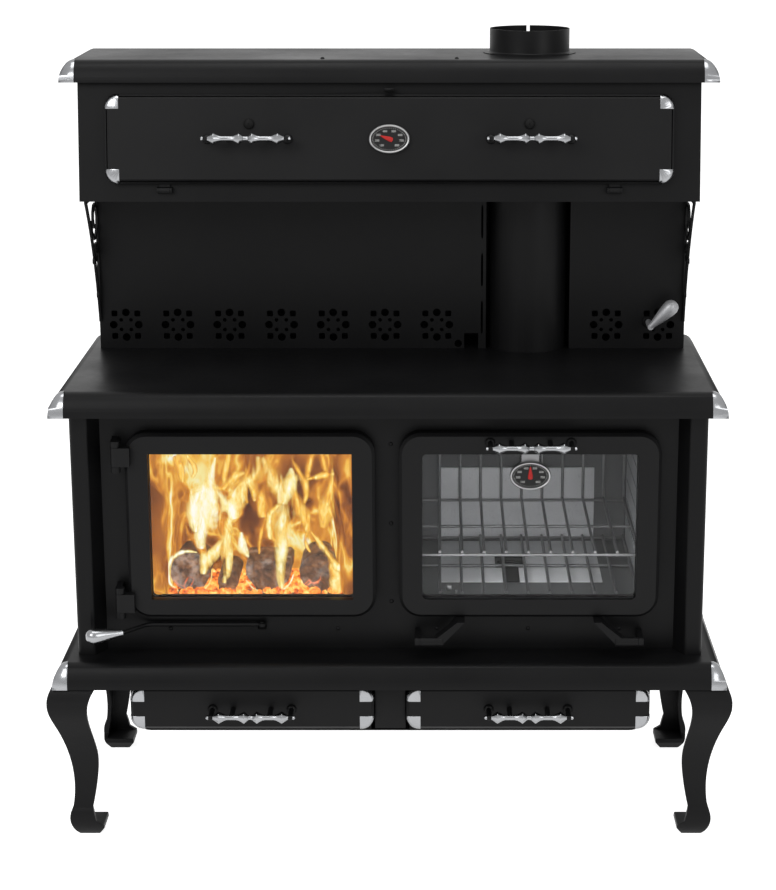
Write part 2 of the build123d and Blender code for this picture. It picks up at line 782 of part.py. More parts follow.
def door_frame(centre, width, glass_width, glass_round):
    """Cast door frame with a bevelled front edge, a glass rebate and a gasket channel."""
    face = Plane.XZ.offset(-plate_y + body_gap)
    with BuildPart() as frame:
        with BuildSketch(face):
            with Locations((centre, door_mid)):
                RectangleRounded(width, door_height, door_round)
        extrude(amount=door_depth)
        chamfer(frame.faces().sort_by(Axis.Y)[0].edges(), door_edge)
        with BuildSketch(face):
            with Locations((centre, glass_mid)):
                if glass_round:
                    RectangleRounded(glass_width, glass_height, glass_round)
                else:
                    Rectangle(glass_width, glass_height)
        extrude(amount=door_depth, mode=Mode.SUBTRACT)
        with BuildSketch(face):
            with Locations((centre, glass_mid)):
                Rectangle(glass_width + 2 * glass_lap, glass_height + 2 * glass_lap)
        extrude(amount=door_depth - door_lip, mode=Mode.SUBTRACT)
        with BuildSketch(face):
            with Locations((centre, door_mid)):
                RectangleRounded(width - 2 * gasket_inset, door_height - 2 * gasket_inset,
                                 door_round - gasket_inset)
                RectangleRounded(width - 2 * gasket_inset - 2 * gasket,
                                 door_height - 2 * gasket_inset - 2 * gasket,
                                 door_round - gasket_inset - gasket, mode=Mode.SUBTRACT)
        extrude(amount=gasket, mode=Mode.SUBTRACT)
    return frame.part


def door_gasket(centre, width):
    """Rope seal that fills the channel and stands just short of the front plate."""
    with BuildPart() as rope:
        with BuildSketch(Plane.XZ.offset(-plate_y + seat_gap)):
            with Locations((centre, door_mid)):
                RectangleRounded(width - 2 * gasket_inset, door_height - 2 * gasket_inset,
                                 door_round - gasket_inset)
                RectangleRounded(width - 2 * gasket_inset - 2 * gasket,
                                 door_height - 2 * gasket_inset - 2 * gasket,
                                 door_round - gasket_inset - gasket, mode=Mode.SUBTRACT)
        extrude(amount=gasket + body_gap - seat_gap)
    return rope.part


def door_glass(centre, glass_width):
    """Glass in the rebate of a door frame."""
    with BuildPart() as pane:
        with BuildSketch(Plane.XZ.offset(-door_y - door_lip)):
            with Locations((centre, glass_mid)):
                Rectangle(glass_width + 2 * glass_lap, glass_height + 2 * glass_lap)
        extrude(amount=-glass_wall)
    return pane.part


def glass_retainer(centre, glass_width):
    """Frame behind the glass that holds it in the rebate."""
    with BuildPart() as ring:
        with BuildSketch(Plane.XZ.offset(-door_y - door_lip - glass_wall)):
            with Locations((centre, glass_mid)):
                Rectangle(glass_width + 2 * glass_lap, glass_height + 2 * glass_lap)
                Rectangle(glass_width, glass_height, mode=Mode.SUBTRACT)
        extrude(amount=-liner)
    return ring.part


side_pin_x = firebox_x - firebox_door_width / 2 - side_pin_out
side_axis_y = plate_y - side_pin_y
knuckle_lows = [door_low + lower_knuckle, door_low + upper_knuckle]

with BuildPart() as firebox_door_frame:
    add(door_frame(firebox_x, firebox_door_width, firebox_glass_width, 0))
    with Locations(*[(side_pin_x, side_axis_y, low) for low in knuckle_lows]):
        Cylinder(knuckle_r, knuckle_length, align=(Align.CENTER, Align.CENTER, Align.MIN))
    with Locations(*[(side_pin_x, side_axis_y + knuckle_r, low) for low in knuckle_lows]):
        Box(side_pin_out + lug_length, 2 * knuckle_r, knuckle_length, align=(Align.MIN, Align.MAX, Align.MIN))
    with Locations(*[(side_pin_x, side_axis_y, low) for low in knuckle_lows]):
        Cylinder(side_pin_r + fit, knuckle_length, align=(Align.CENTER, Align.CENTER, Align.MIN),
                 mode=Mode.SUBTRACT)
save(firebox_door_frame, "firebox_door_frame")

with BuildPart() as firebox_door_glass:
    add(door_glass(firebox_x, firebox_glass_width))
save(firebox_door_glass, "firebox_door_glass")

with BuildPart() as firebox_glass_retainer:
    add(glass_retainer(firebox_x, firebox_glass_width))
save(firebox_glass_retainer, "firebox_glass_retainer")

with BuildPart() as firebox_door_gasket:
    add(door_gasket(firebox_x, firebox_door_width))
save(firebox_door_gasket, "firebox_door_gasket")

# Each hinge bracket: a leaf on the front plate, two lugs and a pin through the knuckle
leaf_x = side_pin_x - knuckle_r
leaf_width = 18.0

with BuildPart() as firebox_hinge_brackets:
    for low in knuckle_lows:
        for lug_low in (low - seat_gap - lug_length, low + knuckle_length + seat_gap):
            with Locations((side_pin_x, side_axis_y, lug_low)):
                Cylinder(knuckle_r, lug_length, align=(Align.CENTER, Align.CENTER, Align.MIN))
            with Locations((leaf_x, side_axis_y, lug_low)):
                Box(lug_length, side_pin_y, lug_length, align=Align.MIN)
        with Locations((side_pin_x, side_axis_y, low - seat_gap - lug_length)):
            Cylinder(side_pin_r, knuckle_length + 2 * lug_length + 2 * seat_gap,
                     align=(Align.CENTER, Align.CENTER, Align.MIN))
        with Locations((leaf_x - 2, plate_y, low - seat_gap - lug_length)):
            Box(leaf_width - 4, sheet, knuckle_length + 2 * lug_length + 2 * seat_gap,
                align=(Align.MIN, Align.MAX, Align.MIN))
save(firebox_hinge_brackets, "firebox_hinge_brackets")

foot_axis_y = plate_y - foot_pin_y
foot_axis_z = door_low - foot_pin_drop
handle_z = (glass_low + glass_height + door_low + door_height) / 2 + 3
oven_handle_plane = Plane((oven_x, door_y, handle_z), x_dir=(1, 0, 0), z_dir=(0, -1, 0))
oven_grip_place = Location(oven_handle_plane.origin + oven_handle_plane.z_dir * grip_standoff)

with BuildPart() as oven_door_frame:
    add(door_frame(oven_x, oven_door_width, oven_glass_width, oven_glass_round))
    add(bored_posts(oven_handle_plane))
save(oven_door_frame, "oven_door_frame")

with BuildPart() as oven_handle_grip:
    add(turned_grip(oven_grip_place))
save(oven_handle_grip, "oven_handle_grip")

with BuildPart() as oven_door_glass:
    add(door_glass(oven_x, oven_glass_width))
save(oven_door_glass, "oven_door_glass")

with BuildPart() as oven_glass_retainer:
    add(glass_retainer(oven_x, oven_glass_width))
save(oven_glass_retainer, "oven_glass_retainer")

with BuildPart() as oven_door_gasket:
    add(door_gasket(oven_x, oven_door_width))
save(oven_door_gasket, "oven_door_gasket")

# Arms under the oven door end in barrels that turn on pins held by the front plate
with BuildPart() as oven_hinge_arms:
    inner = foot_barrel_inner
    with BuildSketch(Plane.XZ.offset(-door_y)):
        with BuildLine():
            Polyline((oven_x + foot_arm_x, door_low), (oven_x + foot_arm_x + foot_arm_width, door_low),
                     (oven_x + inner + foot_arm_width, foot_axis_z + 6), (oven_x + inner, foot_axis_z - 6),
                     (oven_x + inner - 4, foot_axis_z), (oven_x + foot_arm_x, door_low))
        make_face()
    extrude(amount=foot_pin_y - door_depth + foot_barrel_r / 2)
    with BuildSketch(Plane.XZ.offset(-door_y)):
        with BuildLine():
            Polyline((oven_x + foot_arm_x, door_low), (oven_x + foot_arm_x + foot_arm_width, door_low),
                     (oven_x + foot_arm_x + 2 * foot_arm_width, door_low - foot_arm_width),
                     (oven_x + foot_arm_x + foot_arm_width, door_low - foot_arm_width),
                     (oven_x + foot_arm_x, door_low))
        make_face()
    extrude(amount=-14)
    with BuildSketch(Plane.YZ.offset(oven_x + inner)):
        with Locations((foot_axis_y, foot_axis_z)):
            Circle(foot_barrel_r)
    extrude(amount=foot_barrel_length)
    with BuildSketch(Plane.YZ.offset(oven_x + inner - foot_arm_width)):
        with Locations((foot_axis_y, foot_axis_z)):
            Circle(foot_pin_r + fit)
    extrude(amount=foot_barrel_length + 2 * foot_arm_width, mode=Mode.SUBTRACT)
    mirror(about=Plane.YZ.offset(oven_x))
save(oven_hinge_arms, "oven_hinge_arms")

foot_lug_x = oven_x + foot_barrel_inner + foot_barrel_length + seat_gap

with BuildPart() as oven_hinge_brackets:
    with Locations((foot_lug_x, plate_y, foot_axis_z)):
        Box(foot_lug, foot_pin_y, 2 * foot_barrel_r, align=(Align.MIN, Align.MAX, Align.CENTER))
    with BuildSketch(Plane.YZ.offset(foot_lug_x)):
        with Locations((foot_axis_y, foot_axis_z)):
            Circle(foot_barrel_r)
    extrude(amount=foot_lug)
    with BuildSketch(Plane.YZ.offset(foot_lug_x)):
        with Locations((foot_axis_y, foot_axis_z)):
            Circle(foot_pin_r)
    extrude(amount=-foot_barrel_length)
    mirror(about=Plane.YZ.offset(oven_x))
save(oven_hinge_brackets, "oven_hinge_brackets")

# Thermometer of the oven door: its strap hangs from the frame, in front of the glass
oven_dial_z = glass_low + glass_height - 14 - dial_height / 2
oven_dial_plane = Plane((oven_x, door_y + door_lip - strap_wall, oven_dial_z), x_dir=(1, 0, 0),
                        z_dir=(0, -1, 0))

with BuildPart() as oven_thermometer:
    add(dial_housing(oven_dial_plane))
    with Locations((oven_x, door_y + door_lip, oven_dial_z)):
        Box(strap_width, strap_wall, glass_low + glass_height - oven_dial_z,
            align=(Align.CENTER, Align.MAX, Align.MIN))
save(oven_thermometer, "oven_thermometer")

with BuildPart() as oven_thermometer_pointer:
    add(dial_pointer(oven_dial_plane, 0))
save(oven_thermometer_pointer, "oven_thermometer_pointer")

# ---- Drawers ------------------------------------------------------------------------------

housing_low = leg_height - housing_height
housing_top = shelf_top - plate
housing_y = shelf_front + housing_setback
housing_back = back - housing_rear_inset
housing_depth = housing_back - housing_y
tray_depth = housing_depth - sheet - tray_rear_gap
bay_width = (housing_width - 2 * sheet - divider_width) / 2
bay_x = divider_width / 2 + bay_width / 2
bay_centres = {"left": -bay_x, "right": bay_x}
tray_w = bay_width - 2 * tray_side_gap
tray_low = housing_low + sheet + seat_gap
front_width = bay_width - 2 * tray_side_gap + 2 * front_lap
front_low = housing_low + 9.0
front_y = housing_y - body_gap


def housing_outline(width, low, radius):
    """Housing in the XZ plane: open corners above, round corners below."""
    with BuildSketch(Plane.XZ.offset(-housing_y)) as outline:
        with BuildLine():
            FilletPolyline((-width / 2, housing_top), (-width / 2, low), (width / 2, low),
                           (width / 2, housing_top), radius=radius)
            Line((width / 2, housing_top), (-width / 2, housing_top))
        make_face()
    return outline.sketch


with BuildPart() as drawer_housing:
    extrude(housing_outline(housing_width, housing_low, housing_round), amount=-housing_depth)
    with BuildPart(mode=Mode.PRIVATE) as bays:
        extrude(housing_outline(housing_width - 2 * sheet, housing_low + sheet, housing_round - sheet),
                amount=-housing_depth + sheet)
        with Locations((0, housing_y, housing_low)):
            Box(divider_width, housing_depth, housing_top - housing_low,
                align=(Align.CENTER, Align.MIN, Align.MIN), mode=Mode.SUBTRACT)
    add(bays.part, mode=Mode.SUBTRACT)
    with Locations((0, housing_back, housing_low + sheet)):
        Box(divider_width - 2 * sheet, housing_depth - sheet, housing_top - housing_low - sheet,
            align=(Align.CENTER, Align.MAX, Align.MIN), mode=Mode.SUBTRACT)
save(drawer_housing, "drawer_housing")

tray_top = tray_low + tray_height


def tray_outline(centre, outer, inset):
    """Tray section: square corners, but round below on the housing's outer side."""
    half = tray_w / 2 - inset
    low = tray_low + inset
    radius = housing_round - sheet - inset
    sign = 1 if outer > 0 else -1
    with BuildSketch(Plane.XZ.offset(-front_y)) as outline:
        with BuildLine():
            FilletPolyline((centre + sign * half, tray_top), (centre + sign * half, low),
                           (centre - sign * half, low), radius=radius)
            Polyline((centre - sign * half, low), (centre - sign * half, tray_top),
                     (centre + sign * half, tray_top))
        make_face()
    return outline.sketch


def drawer(centre):
    """Folded tray with a raised front and the posts of its handle."""
    front_z = front_low + front_height / 2
    face = Plane((centre, front_y, front_z), x_dir=(1, 0, 0), z_dir=(0, -1, 0))
    with BuildPart() as tray:
        extrude(tray_outline(centre, centre, 0.0), amount=-tray_depth)
        with BuildPart(mode=Mode.PRIVATE) as hollow:
            extrude(tray_outline(centre, centre, liner), amount=-tray_depth + liner)
        add(hollow.part, mode=Mode.SUBTRACT)
        add(soft_front(face, front_width, front_height, front_round, front_thick, front_edge))
        add(bored_posts(face.offset(front_thick)))
    return tray.part


def drawer_face(centre):
    """Plane on the back of a drawer's front."""
    return Plane((centre, front_y, front_low + front_height / 2), x_dir=(1, 0, 0), z_dir=(0, -1, 0))


with BuildPart() as left_drawer:
    add(drawer(bay_centres["left"]))
save(left_drawer, "left_drawer")

with BuildPart() as right_drawer:
    add(drawer(bay_centres["right"]))
save(right_drawer, "right_drawer")

for name, centre in bay_centres.items():
    with BuildPart() as drawer_corners:
        add(front_corners(drawer_face(centre), front_width, front_height, front_round, front_thick,
                          front_edge))
    save(drawer_corners, f"{name}_drawer_corners")
    with BuildPart() as drawer_grip:
        add(turned_grip(Location((centre, front_y - front_thick - grip_standoff,
                                  front_low + front_height / 2))))
    save(drawer_grip, f"{name}_drawer_grip")

# ---- Backsplash ---------------------------------------------------------------------------

splash_back = back - sheet
left_panel = (-splash_width / 2, pipe_x - pipe_gap_half)
right_panel = (pipe_x + pipe_gap_half, splash_width / 2)
damper_z = cooktop_top + damper_height


def splash_shell(low_x, high_x):
    """Panel with its two side returns, which run to the rear shield."""
    with BuildPart() as shell:
        with Locations((low_x, splash_y, cooktop_top)):
            Box(high_x - low_x, splash_back - splash_y, splash_height, align=Align.MIN)
        with Locations((low_x + sheet, splash_y + sheet, cooktop_top)):
            Box(high_x - low_x - 2 * sheet, splash_back - splash_y - sheet, splash_height,
                align=Align.MIN, mode=Mode.SUBTRACT)
    return shell.part


def rosettes(first_x, count):
    """Cutter for a row of pierced rosettes in the backsplash."""
    with BuildPart() as cutter:
        with BuildSketch(Plane.XZ.offset(-splash_y)):
            for index in range(count):
                with Locations((first_x + index * rosette_pitch, cooktop_top + rosette_height)):
                    with PolarLocations(petal_ring, 4):
                        RegularPolygon(petal_r, 8)
                    with GridLocations(2 * corner_petal_out, 2 * corner_petal_out, 2, 2):
                        Rectangle(corner_petal, corner_petal)
                    with GridLocations(2 * seed_out, 2 * seed_out, 2, 2):
                        RegularPolygon(seed_r, 4)
        extrude(amount=-sheet)
    return cutter.part


with BuildPart() as splash_left:
    add(splash_shell(*left_panel))
    add(rosettes(left_panel[0] + rosette_edge, rosette_count), mode=Mode.SUBTRACT)
    with BuildSketch(Plane.XZ.offset(-splash_y)):
        with Locations((left_panel[1] - slot_inset, cooktop_top + splash_height / 2)):
            with GridLocations(1, slot_pitch, 1, 3):
                Rectangle(slot_width, slot_length)
        with Locations((left_panel[1] - notch_inset, cooktop_top)):
            Rectangle(notch_width, notch_height, align=(Align.MAX, Align.MIN))
        with Locations((left_panel[1] - notch_inset - notch_width - notch_hole_out / 2,
                        cooktop_top + notch_hole_up)):
            RegularPolygon(notch_hole_r, 8)
    extrude(amount=-sheet, mode=Mode.SUBTRACT)
save(splash_left, "splash_left")

with BuildPart() as splash_right:
    add(splash_shell(*right_panel))
    add(rosettes(right_panel[1] - rosette_edge - rosette_pitch * (right_rosette_count - 1),
                 right_rosette_count), mode=Mode.SUBTRACT)
    with BuildSketch(Plane.XZ.offset(-splash_y)):
        with Locations((damper_x, damper_z)):
            Circle(drop_small + 4)
    extrude(amount=-sheet)
    with BuildSketch(Plane.XZ.offset(-splash_y)):
        with Locations((damper_x, damper_z)):
            Circle(drop_small + fit)
    extrude(amount=-sheet, mode=Mode.SUBTRACT)
save(splash_right, "splash_right")

with BuildPart() as rear_shield:
    with Locations((0, back, cooktop_top)):
        Box(splash_width, sheet, splash_height, align=(Align.CENTER, Align.MAX, Align.MIN))
save(rear_shield, "rear_shield")

with BuildPart() as flue_pipe:
    with BuildSketch(Plane.XY.offset(cooktop_top)):
        with Locations((pipe_x, pipe_y)):
            Circle(pipe_r)
            Circle(flue_r, mode=Mode.SUBTRACT)
    extrude(amount=cover_under - cooktop_top)
save(flue_pipe, "flue_pipe")

with BuildPart() as flue_collar:
    with BuildSketch(Plane.XZ.offset(-pipe_y)):
        with BuildLine():
            Polyline((pipe_x + flue_r, cover_top), (pipe_x + pipe_r + collar_flange, cover_top),
                     (pipe_x + pipe_r + collar_flange, cover_top + pipe_wall),
                     (pipe_x + pipe_r + collar_bend, cover_top + pipe_wall),
                     (pipe_x + pipe_r, cover_top + pipe_wall + collar_bend),
                     (pipe_x + pipe_r, cover_top + collar_rise),
                     (pipe_x + flue_r, cover_top + collar_rise), (pipe_x + flue_r, cover_top))
        make_face()
    revolve(axis=Axis((pipe_x, pipe_y, 0), (0, 0, 1)))
    with Locations((pipe_x, pipe_y + pipe_r, cover_top + collar_rise)):
        Box(collar_slot, 4 * pipe_wall, 2 * collar_slot, align=(Align.CENTER, Align.CENTER, Align.MAX),
            mode=Mode.SUBTRACT)
save(flue_collar, "flue_collar")

# ---- Warming closet -----------------------------------------------------------------------

lean = radians(closet_lean)
closet_y = shelf_front + closet_front_in
closet_top_y = closet_y + (cover_under - closet_floor) * tan(lean)
slope_up = (0, sin(lean), cos(lean))
slope_out = (0, -cos(lean), sin(lean))
closet_door_mid = closet_door_up + closet_door_height / 2


def on_slope(x, up, out=0.0):
    """Plane facing out of the leaning closet front, at a distance up the slope."""
    origin = Vector(x, closet_y, closet_floor) + Vector(*slope_up) * up + Vector(*slope_out) * out
    return Plane(origin, x_dir=(1, 0, 0), z_dir=slope_out)


def closet_section(plane_x, width, inset):
    """Closet's side view, drawn inside its walls by the inset, as a solid bar."""
    lift = inset / cos(lean) - inset * tan(lean)
    with BuildPart() as bar:
        with BuildSketch(Plane.YZ.offset(plane_x)):
            with BuildLine():
                Polyline((closet_y + inset * tan(lean) + inset / cos(lean), closet_floor + inset),
                         (back - inset, closet_floor + inset), (back - inset, cover_under),
                         (closet_top_y + inset / cos(lean), cover_under),
                         (closet_y + inset * tan(lean) + inset / cos(lean), closet_floor + inset))
            make_face()
        extrude(amount=width)
    return bar.part


closet_bay_low = 50.0
closet_bay_height = 132.0

with BuildPart() as closet_box:
    add(closet_section(-closet_width / 2, closet_width, 0.0))
    add(closet_section(-closet_width / 2 + sheet, closet_width - 2 * sheet, sheet), mode=Mode.SUBTRACT)
    with BuildSketch(on_slope(0, closet_bay_low + closet_bay_height / 2)):
        RectangleRounded(closet_door_width - 40, closet_bay_height, 12)
    extrude(amount=-2 * sheet, mode=Mode.SUBTRACT)
    with BuildSketch(Plane.XY.offset(closet_floor)):
        with Locations((pipe_x, pipe_y)):
            Circle(pipe_r + seat_gap)
    extrude(amount=sheet, mode=Mode.SUBTRACT)
    with BuildSketch(on_slope(0, closet_door_up + closet_door_height + 8)):
        Rectangle(latch_width, 6)
    extrude(amount=closet_door_depth)
save(closet_box, "closet_box")

with BuildPart() as closet_cover:
    add(rolled_block(cover_width, cover_front, cover_top, cover_drop))
    add(rolled_cavity(cover_width, cover_front, cover_top, cover_drop), mode=Mode.SUBTRACT)
    add(closet_section(-closet_width / 2, closet_width, 0.0), mode=Mode.SUBTRACT)
    with BuildSketch(Plane.XY.offset(cover_top)):
        with Locations((pipe_x, pipe_y)):
            Circle(flue_r - flue_ledge)
    extrude(amount=-plate, mode=Mode.SUBTRACT)
save(closet_cover, "closet_cover")

with BuildPart() as cover_corner_caps:
    add(corner_caps(cover_width, cover_front, cover_top, cover_drop))
save(cover_corner_caps, "cover_corner_caps")

door_plane = on_slope(0, closet_door_mid, body_gap)
closet_pin_up = closet_door_up - closet_pin_down
closet_pin_out = body_gap + closet_knuckle_r + 2
closet_knuckles = [-closet_hinge_x, closet_hinge_x]

with BuildPart() as closet_door:
    add(soft_front(door_plane, closet_door_width, closet_door_height, closet_door_round,
                   closet_door_depth, closet_door_edge))
    with BuildSketch(door_plane):
        RectangleRounded(closet_door_width - 2 * sheet, closet_door_height - 2 * sheet,
                         closet_door_round - sheet)
    extrude(amount=closet_door_depth - sheet, mode=Mode.SUBTRACT)
    for x in closet_knuckles:
        with BuildSketch(Plane(on_slope(x - closet_knuckle / 2, closet_pin_up, closet_pin_out).origin,
                               x_dir=(0, 1, 0), z_dir=(1, 0, 0))):
            RegularPolygon(closet_knuckle_r, sides)
        extrude(amount=closet_knuckle)
        with BuildSketch(on_slope(x, closet_pin_up, body_gap + 2)):
            Rectangle(closet_knuckle, closet_pin_down + sheet, align=(Align.CENTER, Align.MIN))
        extrude(amount=sheet)
        with BuildSketch(Plane(on_slope(x - closet_knuckle, closet_pin_up, closet_pin_out).origin,
                               x_dir=(0, 1, 0), z_dir=(1, 0, 0))):
            Circle(closet_pin_r + fit)
        extrude(amount=2 * closet_knuckle, mode=Mode.SUBTRACT)
    for x in (-closet_handle_x, closet_handle_x):
        add(bored_posts(on_slope(x, closet_door_mid, body_gap + closet_door_depth)))
save(closet_door, "closet_door")

with BuildPart() as closet_door_corners:
    add(front_corners(door_plane, closet_door_width, closet_door_height, closet_door_round,
                      closet_door_depth, closet_door_edge))
save(closet_door_corners, "closet_door_corners")

with BuildPart() as closet_handle_grips:
    for x in (-closet_handle_x, closet_handle_x):
        place = on_slope(x, closet_door_mid, body_gap + closet_door_depth + grip_standoff)
        add(turned_grip(Location(place.origin)))
save(closet_handle_grips, "closet_handle_grips")

closet_dial_plane = on_slope(0, closet_door_mid, body_gap + closet_door_depth)

with BuildPart() as closet_thermometer:
    add(dial_housing(closet_dial_plane))
save(closet_thermometer, "closet_thermometer")

with BuildPart() as closet_thermometer_pointer:
    add(dial_pointer(closet_dial_plane, closet_pointer_angle))
save(closet_thermometer_pointer, "closet_thermometer_pointer")

# Two brackets on the closet's front carry the pins that the door drops on
closet_lug = 4.0

with BuildPart() as closet_hinge_brackets:
    for x in closet_knuckles:
        for side in (-1, 1):
            lug_x = x + side * (closet_knuckle / 2 + seat_gap + closet_lug / 2)
            with BuildSketch(Plane(on_slope(lug_x - closet_lug / 2, closet_pin_up, closet_pin_out).origin,
                                   x_dir=(0, 1, 0), z_dir=(1, 0, 0))):
                RegularPolygon(closet_knuckle_r, sides)
            extrude(amount=closet_lug)
            with BuildSketch(on_slope(lug_x, closet_pin_up)):
                Rectangle(closet_lug, 2 * closet_knuckle_r)
            extrude(amount=closet_pin_out)
        with BuildSketch(Plane(on_slope(x - closet_knuckle / 2 - closet_lug, closet_pin_up,
                                        closet_pin_out).origin,
                               x_dir=(0, 1, 0), z_dir=(1, 0, 0))):
            Circle(closet_pin_r)
        extrude(amount=closet_knuckle + 2 * closet_lug)
save(closet_hinge_brackets, "closet_hinge_brackets")

# ---- Scroll brackets ------------------------------------------------------------------------

bracket_top = closet_floor
bracket_low = closet_floor - bracket_drop
bracket_x = splash_width / 2 - bracket_wall
band = bracket_band


def volute(centre_y, centre_z, radius, start, sign):
    """Scroll band that tightens by a third each half turn, about its own pole."""
    shrink = 0.66
    first = 2 * radius / (1 + shrink)
    pole = (centre_y + (radius - first) * cos(radians(start)), centre_z + (radius - first) * sin(radians(start)))
    turns = [(first * shrink ** (step / 5), radians(start + sign * 36 * step)) for step in range(13)]
    with BuildSketch(Plane.YZ.offset(bracket_x)) as curl:
        with BuildLine() as line:
            Polyline(*[(pole[0] + reach * cos(angle), pole[1] + reach * sin(angle))
                       for reach, angle in turns])
        trace(line.line, line_width=band)
    return curl.sketch


with BuildPart() as right_scroll_bracket:
    with BuildSketch(Plane.YZ.offset(bracket_x)):
        with Locations((splash_y, bracket_low)):
            Rectangle(band, bracket_drop, align=(Align.MAX, Align.MIN))
        with Locations((splash_y, bracket_top)):
            Rectangle(bracket_reach, band, align=(Align.MAX, Align.MAX))
        with BuildLine() as sweep_line:
            ThreePointArc((splash_y - bracket_reach + band / 2, bracket_top - band / 2),
                          (splash_y - 0.36 * bracket_reach, bracket_low + 0.5 * bracket_drop),
                          (splash_y - band / 2, bracket_low + band / 2))
        trace(sweep_line.line, line_width=band)
        with Locations((splash_y - 0.36 * bracket_reach - band, bracket_low + 0.5 * bracket_drop),
                       (splash_y - 0.16 * bracket_reach, bracket_low + 0.22 * bracket_drop)):
            Circle(0.8 * band)
    extrude(amount=bracket_wall)
    extrude(volute(splash_y - 0.31 * bracket_reach, bracket_top - 0.19 * bracket_drop, 0.28 * bracket_reach, 180, 1),
            amount=bracket_wall)
    extrude(volute(splash_y - 0.2 * bracket_reach, bracket_top - 0.46 * bracket_drop, 0.13 * bracket_reach, 0, 1),
            amount=bracket_wall)
save(right_scroll_bracket, "right_scroll_bracket")

with BuildPart() as left_scroll_bracket:
    mirror(right_scroll_bracket.part, about=Plane.YZ)
save(left_scroll_bracket, "left_scroll_bracket")

# ---- Controls -------------------------------------------------------------------------------

with BuildPart() as flue_damper_handle:
    turn = Plane((damper_x, splash_y - damper_standoff, damper_z),
                 z_dir=(cos(radians(damper_angle)), 0, sin(radians(damper_angle))))
    add(teardrop(turn))
    with BuildSketch(Plane.XZ.offset(-splash_y + damper_standoff + drop_small)):
        with Locations((damper_x, damper_z)):
            Circle(drop_small)
    extrude(amount=-damper_standoff - 2 * drop_small - sheet - 20)
save(flue_damper_handle, "flue_damper_handle")

lever_tip = (lever_tip_x, plate_y - lever_tip_y)
lever_bend = (lever_bend_x, lever_y)
lever_dir = Vector(lever_tip[0] - lever_bend[0], lever_tip[1] - lever_bend[1]).normalized()

with BuildPart() as air_lever:
    with BuildLine():
        FilletPolyline((lever_pin_x, lever_y, lever_z), (*lever_bend, lever_z), (*lever_tip, lever_z), radius=25)
    with BuildSketch(Plane((lever_pin_x, lever_y, lever_z), z_dir=(-1, 0, 0))):
        RegularPolygon(lever_rod_r, sides)
    sweep()
    with BuildSketch(Plane.XY.offset(lever_z - lever_rod_r)):
        with Locations((lever_pin_x, lever_y)):
            Circle(lever_eye_r)
    extrude(amount=2 * lever_rod_r)
    with BuildSketch(Plane.XY.offset(lever_z - 2 * lever_rod_r)):
        with Locations((lever_pin_x, lever_y)):
            Circle(lever_pin_r + fit)
    extrude(amount=4 * lever_rod_r, mode=Mode.SUBTRACT)
    knob_plane = Plane((*lever_tip, lever_z), z_dir=(-0.93, -0.36, 0))
    add(teardrop(knob_plane))
save(air_lever, "air_lever")

pull_z = shelf_top + pull_height
pull_x = -body_width / 2

with BuildPart() as side_pull:
    with BuildSketch(Plane((pull_x + pull_inside, pull_y, pull_z), x_dir=(0, 1, 0), z_dir=(-1, 0, 0))):
        Circle(pull_rod_r)
    extrude(amount=pull_inside + pull_reach - 3 * pull_knob_r)
    add(turned(Plane((pull_x, pull_y, pull_z), x_dir=(0, 1, 0), z_dir=(-1, 0, 0)),
               ((pull_reach - 3.2 * pull_knob_r, 0.65 * pull_knob_r),
                (pull_reach - 2.5 * pull_knob_r, 0.65 * pull_knob_r),
                (pull_reach - 1.6 * pull_knob_r, 0.9 * pull_knob_r), (pull_reach - pull_knob_r, pull_knob_r),
                (pull_reach - 0.35 * pull_knob_r, 0.78 * pull_knob_r), (pull_reach, 0.3 * pull_knob_r))))
save(side_pull, "side_pull")
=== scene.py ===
import json
import math
import random

import bmesh
import bpy
from mathutils import Matrix, Vector, noise


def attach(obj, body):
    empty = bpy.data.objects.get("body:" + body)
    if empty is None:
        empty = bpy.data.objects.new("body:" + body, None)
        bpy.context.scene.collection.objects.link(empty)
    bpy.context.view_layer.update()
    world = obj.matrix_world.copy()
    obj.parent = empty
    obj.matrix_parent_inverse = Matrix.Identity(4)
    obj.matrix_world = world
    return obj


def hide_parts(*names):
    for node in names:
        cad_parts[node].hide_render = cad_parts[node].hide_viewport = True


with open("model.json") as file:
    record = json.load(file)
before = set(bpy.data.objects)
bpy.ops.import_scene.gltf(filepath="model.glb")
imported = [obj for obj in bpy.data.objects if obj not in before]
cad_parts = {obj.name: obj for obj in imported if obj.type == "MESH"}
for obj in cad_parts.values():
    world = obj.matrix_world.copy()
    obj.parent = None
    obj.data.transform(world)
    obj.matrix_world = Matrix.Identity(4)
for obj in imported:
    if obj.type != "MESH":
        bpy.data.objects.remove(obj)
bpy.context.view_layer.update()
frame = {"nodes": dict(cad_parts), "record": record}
nodeBody = {node: body for body, members in frame["record"]["behaviour"]["bodies"].items() for node in members}
nodeSlot = {entry["node"]: entry["material_slot"] for entry in frame["record"]["subparts"]}
print("frame loaded:", len(frame["nodes"]), "nodes")


def linkObject(name, data):
    obj = bpy.data.objects.new(name, data)
    bpy.context.scene.collection.objects.link(obj)
    return obj


def setMaterials(obj, *materials):
    obj.data.materials.clear()
    for material in materials:
        obj.data.materials.append(material)


def smoothByAngle(mesh, degrees):
    mesh.polygons.foreach_set("use_smooth", [True] * len(mesh.polygons))
    mesh.set_sharp_from_angle(angle=math.radians(degrees))


def evaluatedMesh(obj):
    graph = bpy.context.evaluated_depsgraph_get()
    graph.update()
    return bpy.data.meshes.new_from_object(obj.evaluated_get(graph))


def keepResult(obj):
    # the evaluated result becomes the object's own mesh, and the modifiers go
    mesh = evaluatedMesh(obj)
    obj.modifiers.clear()
    obj.data = mesh


def reshape(obj, kind, settings):
    made = obj.modifiers.new("shape", kind)
    for key, value in settings.items():
        setattr(made, key, value)
    keepResult(obj)


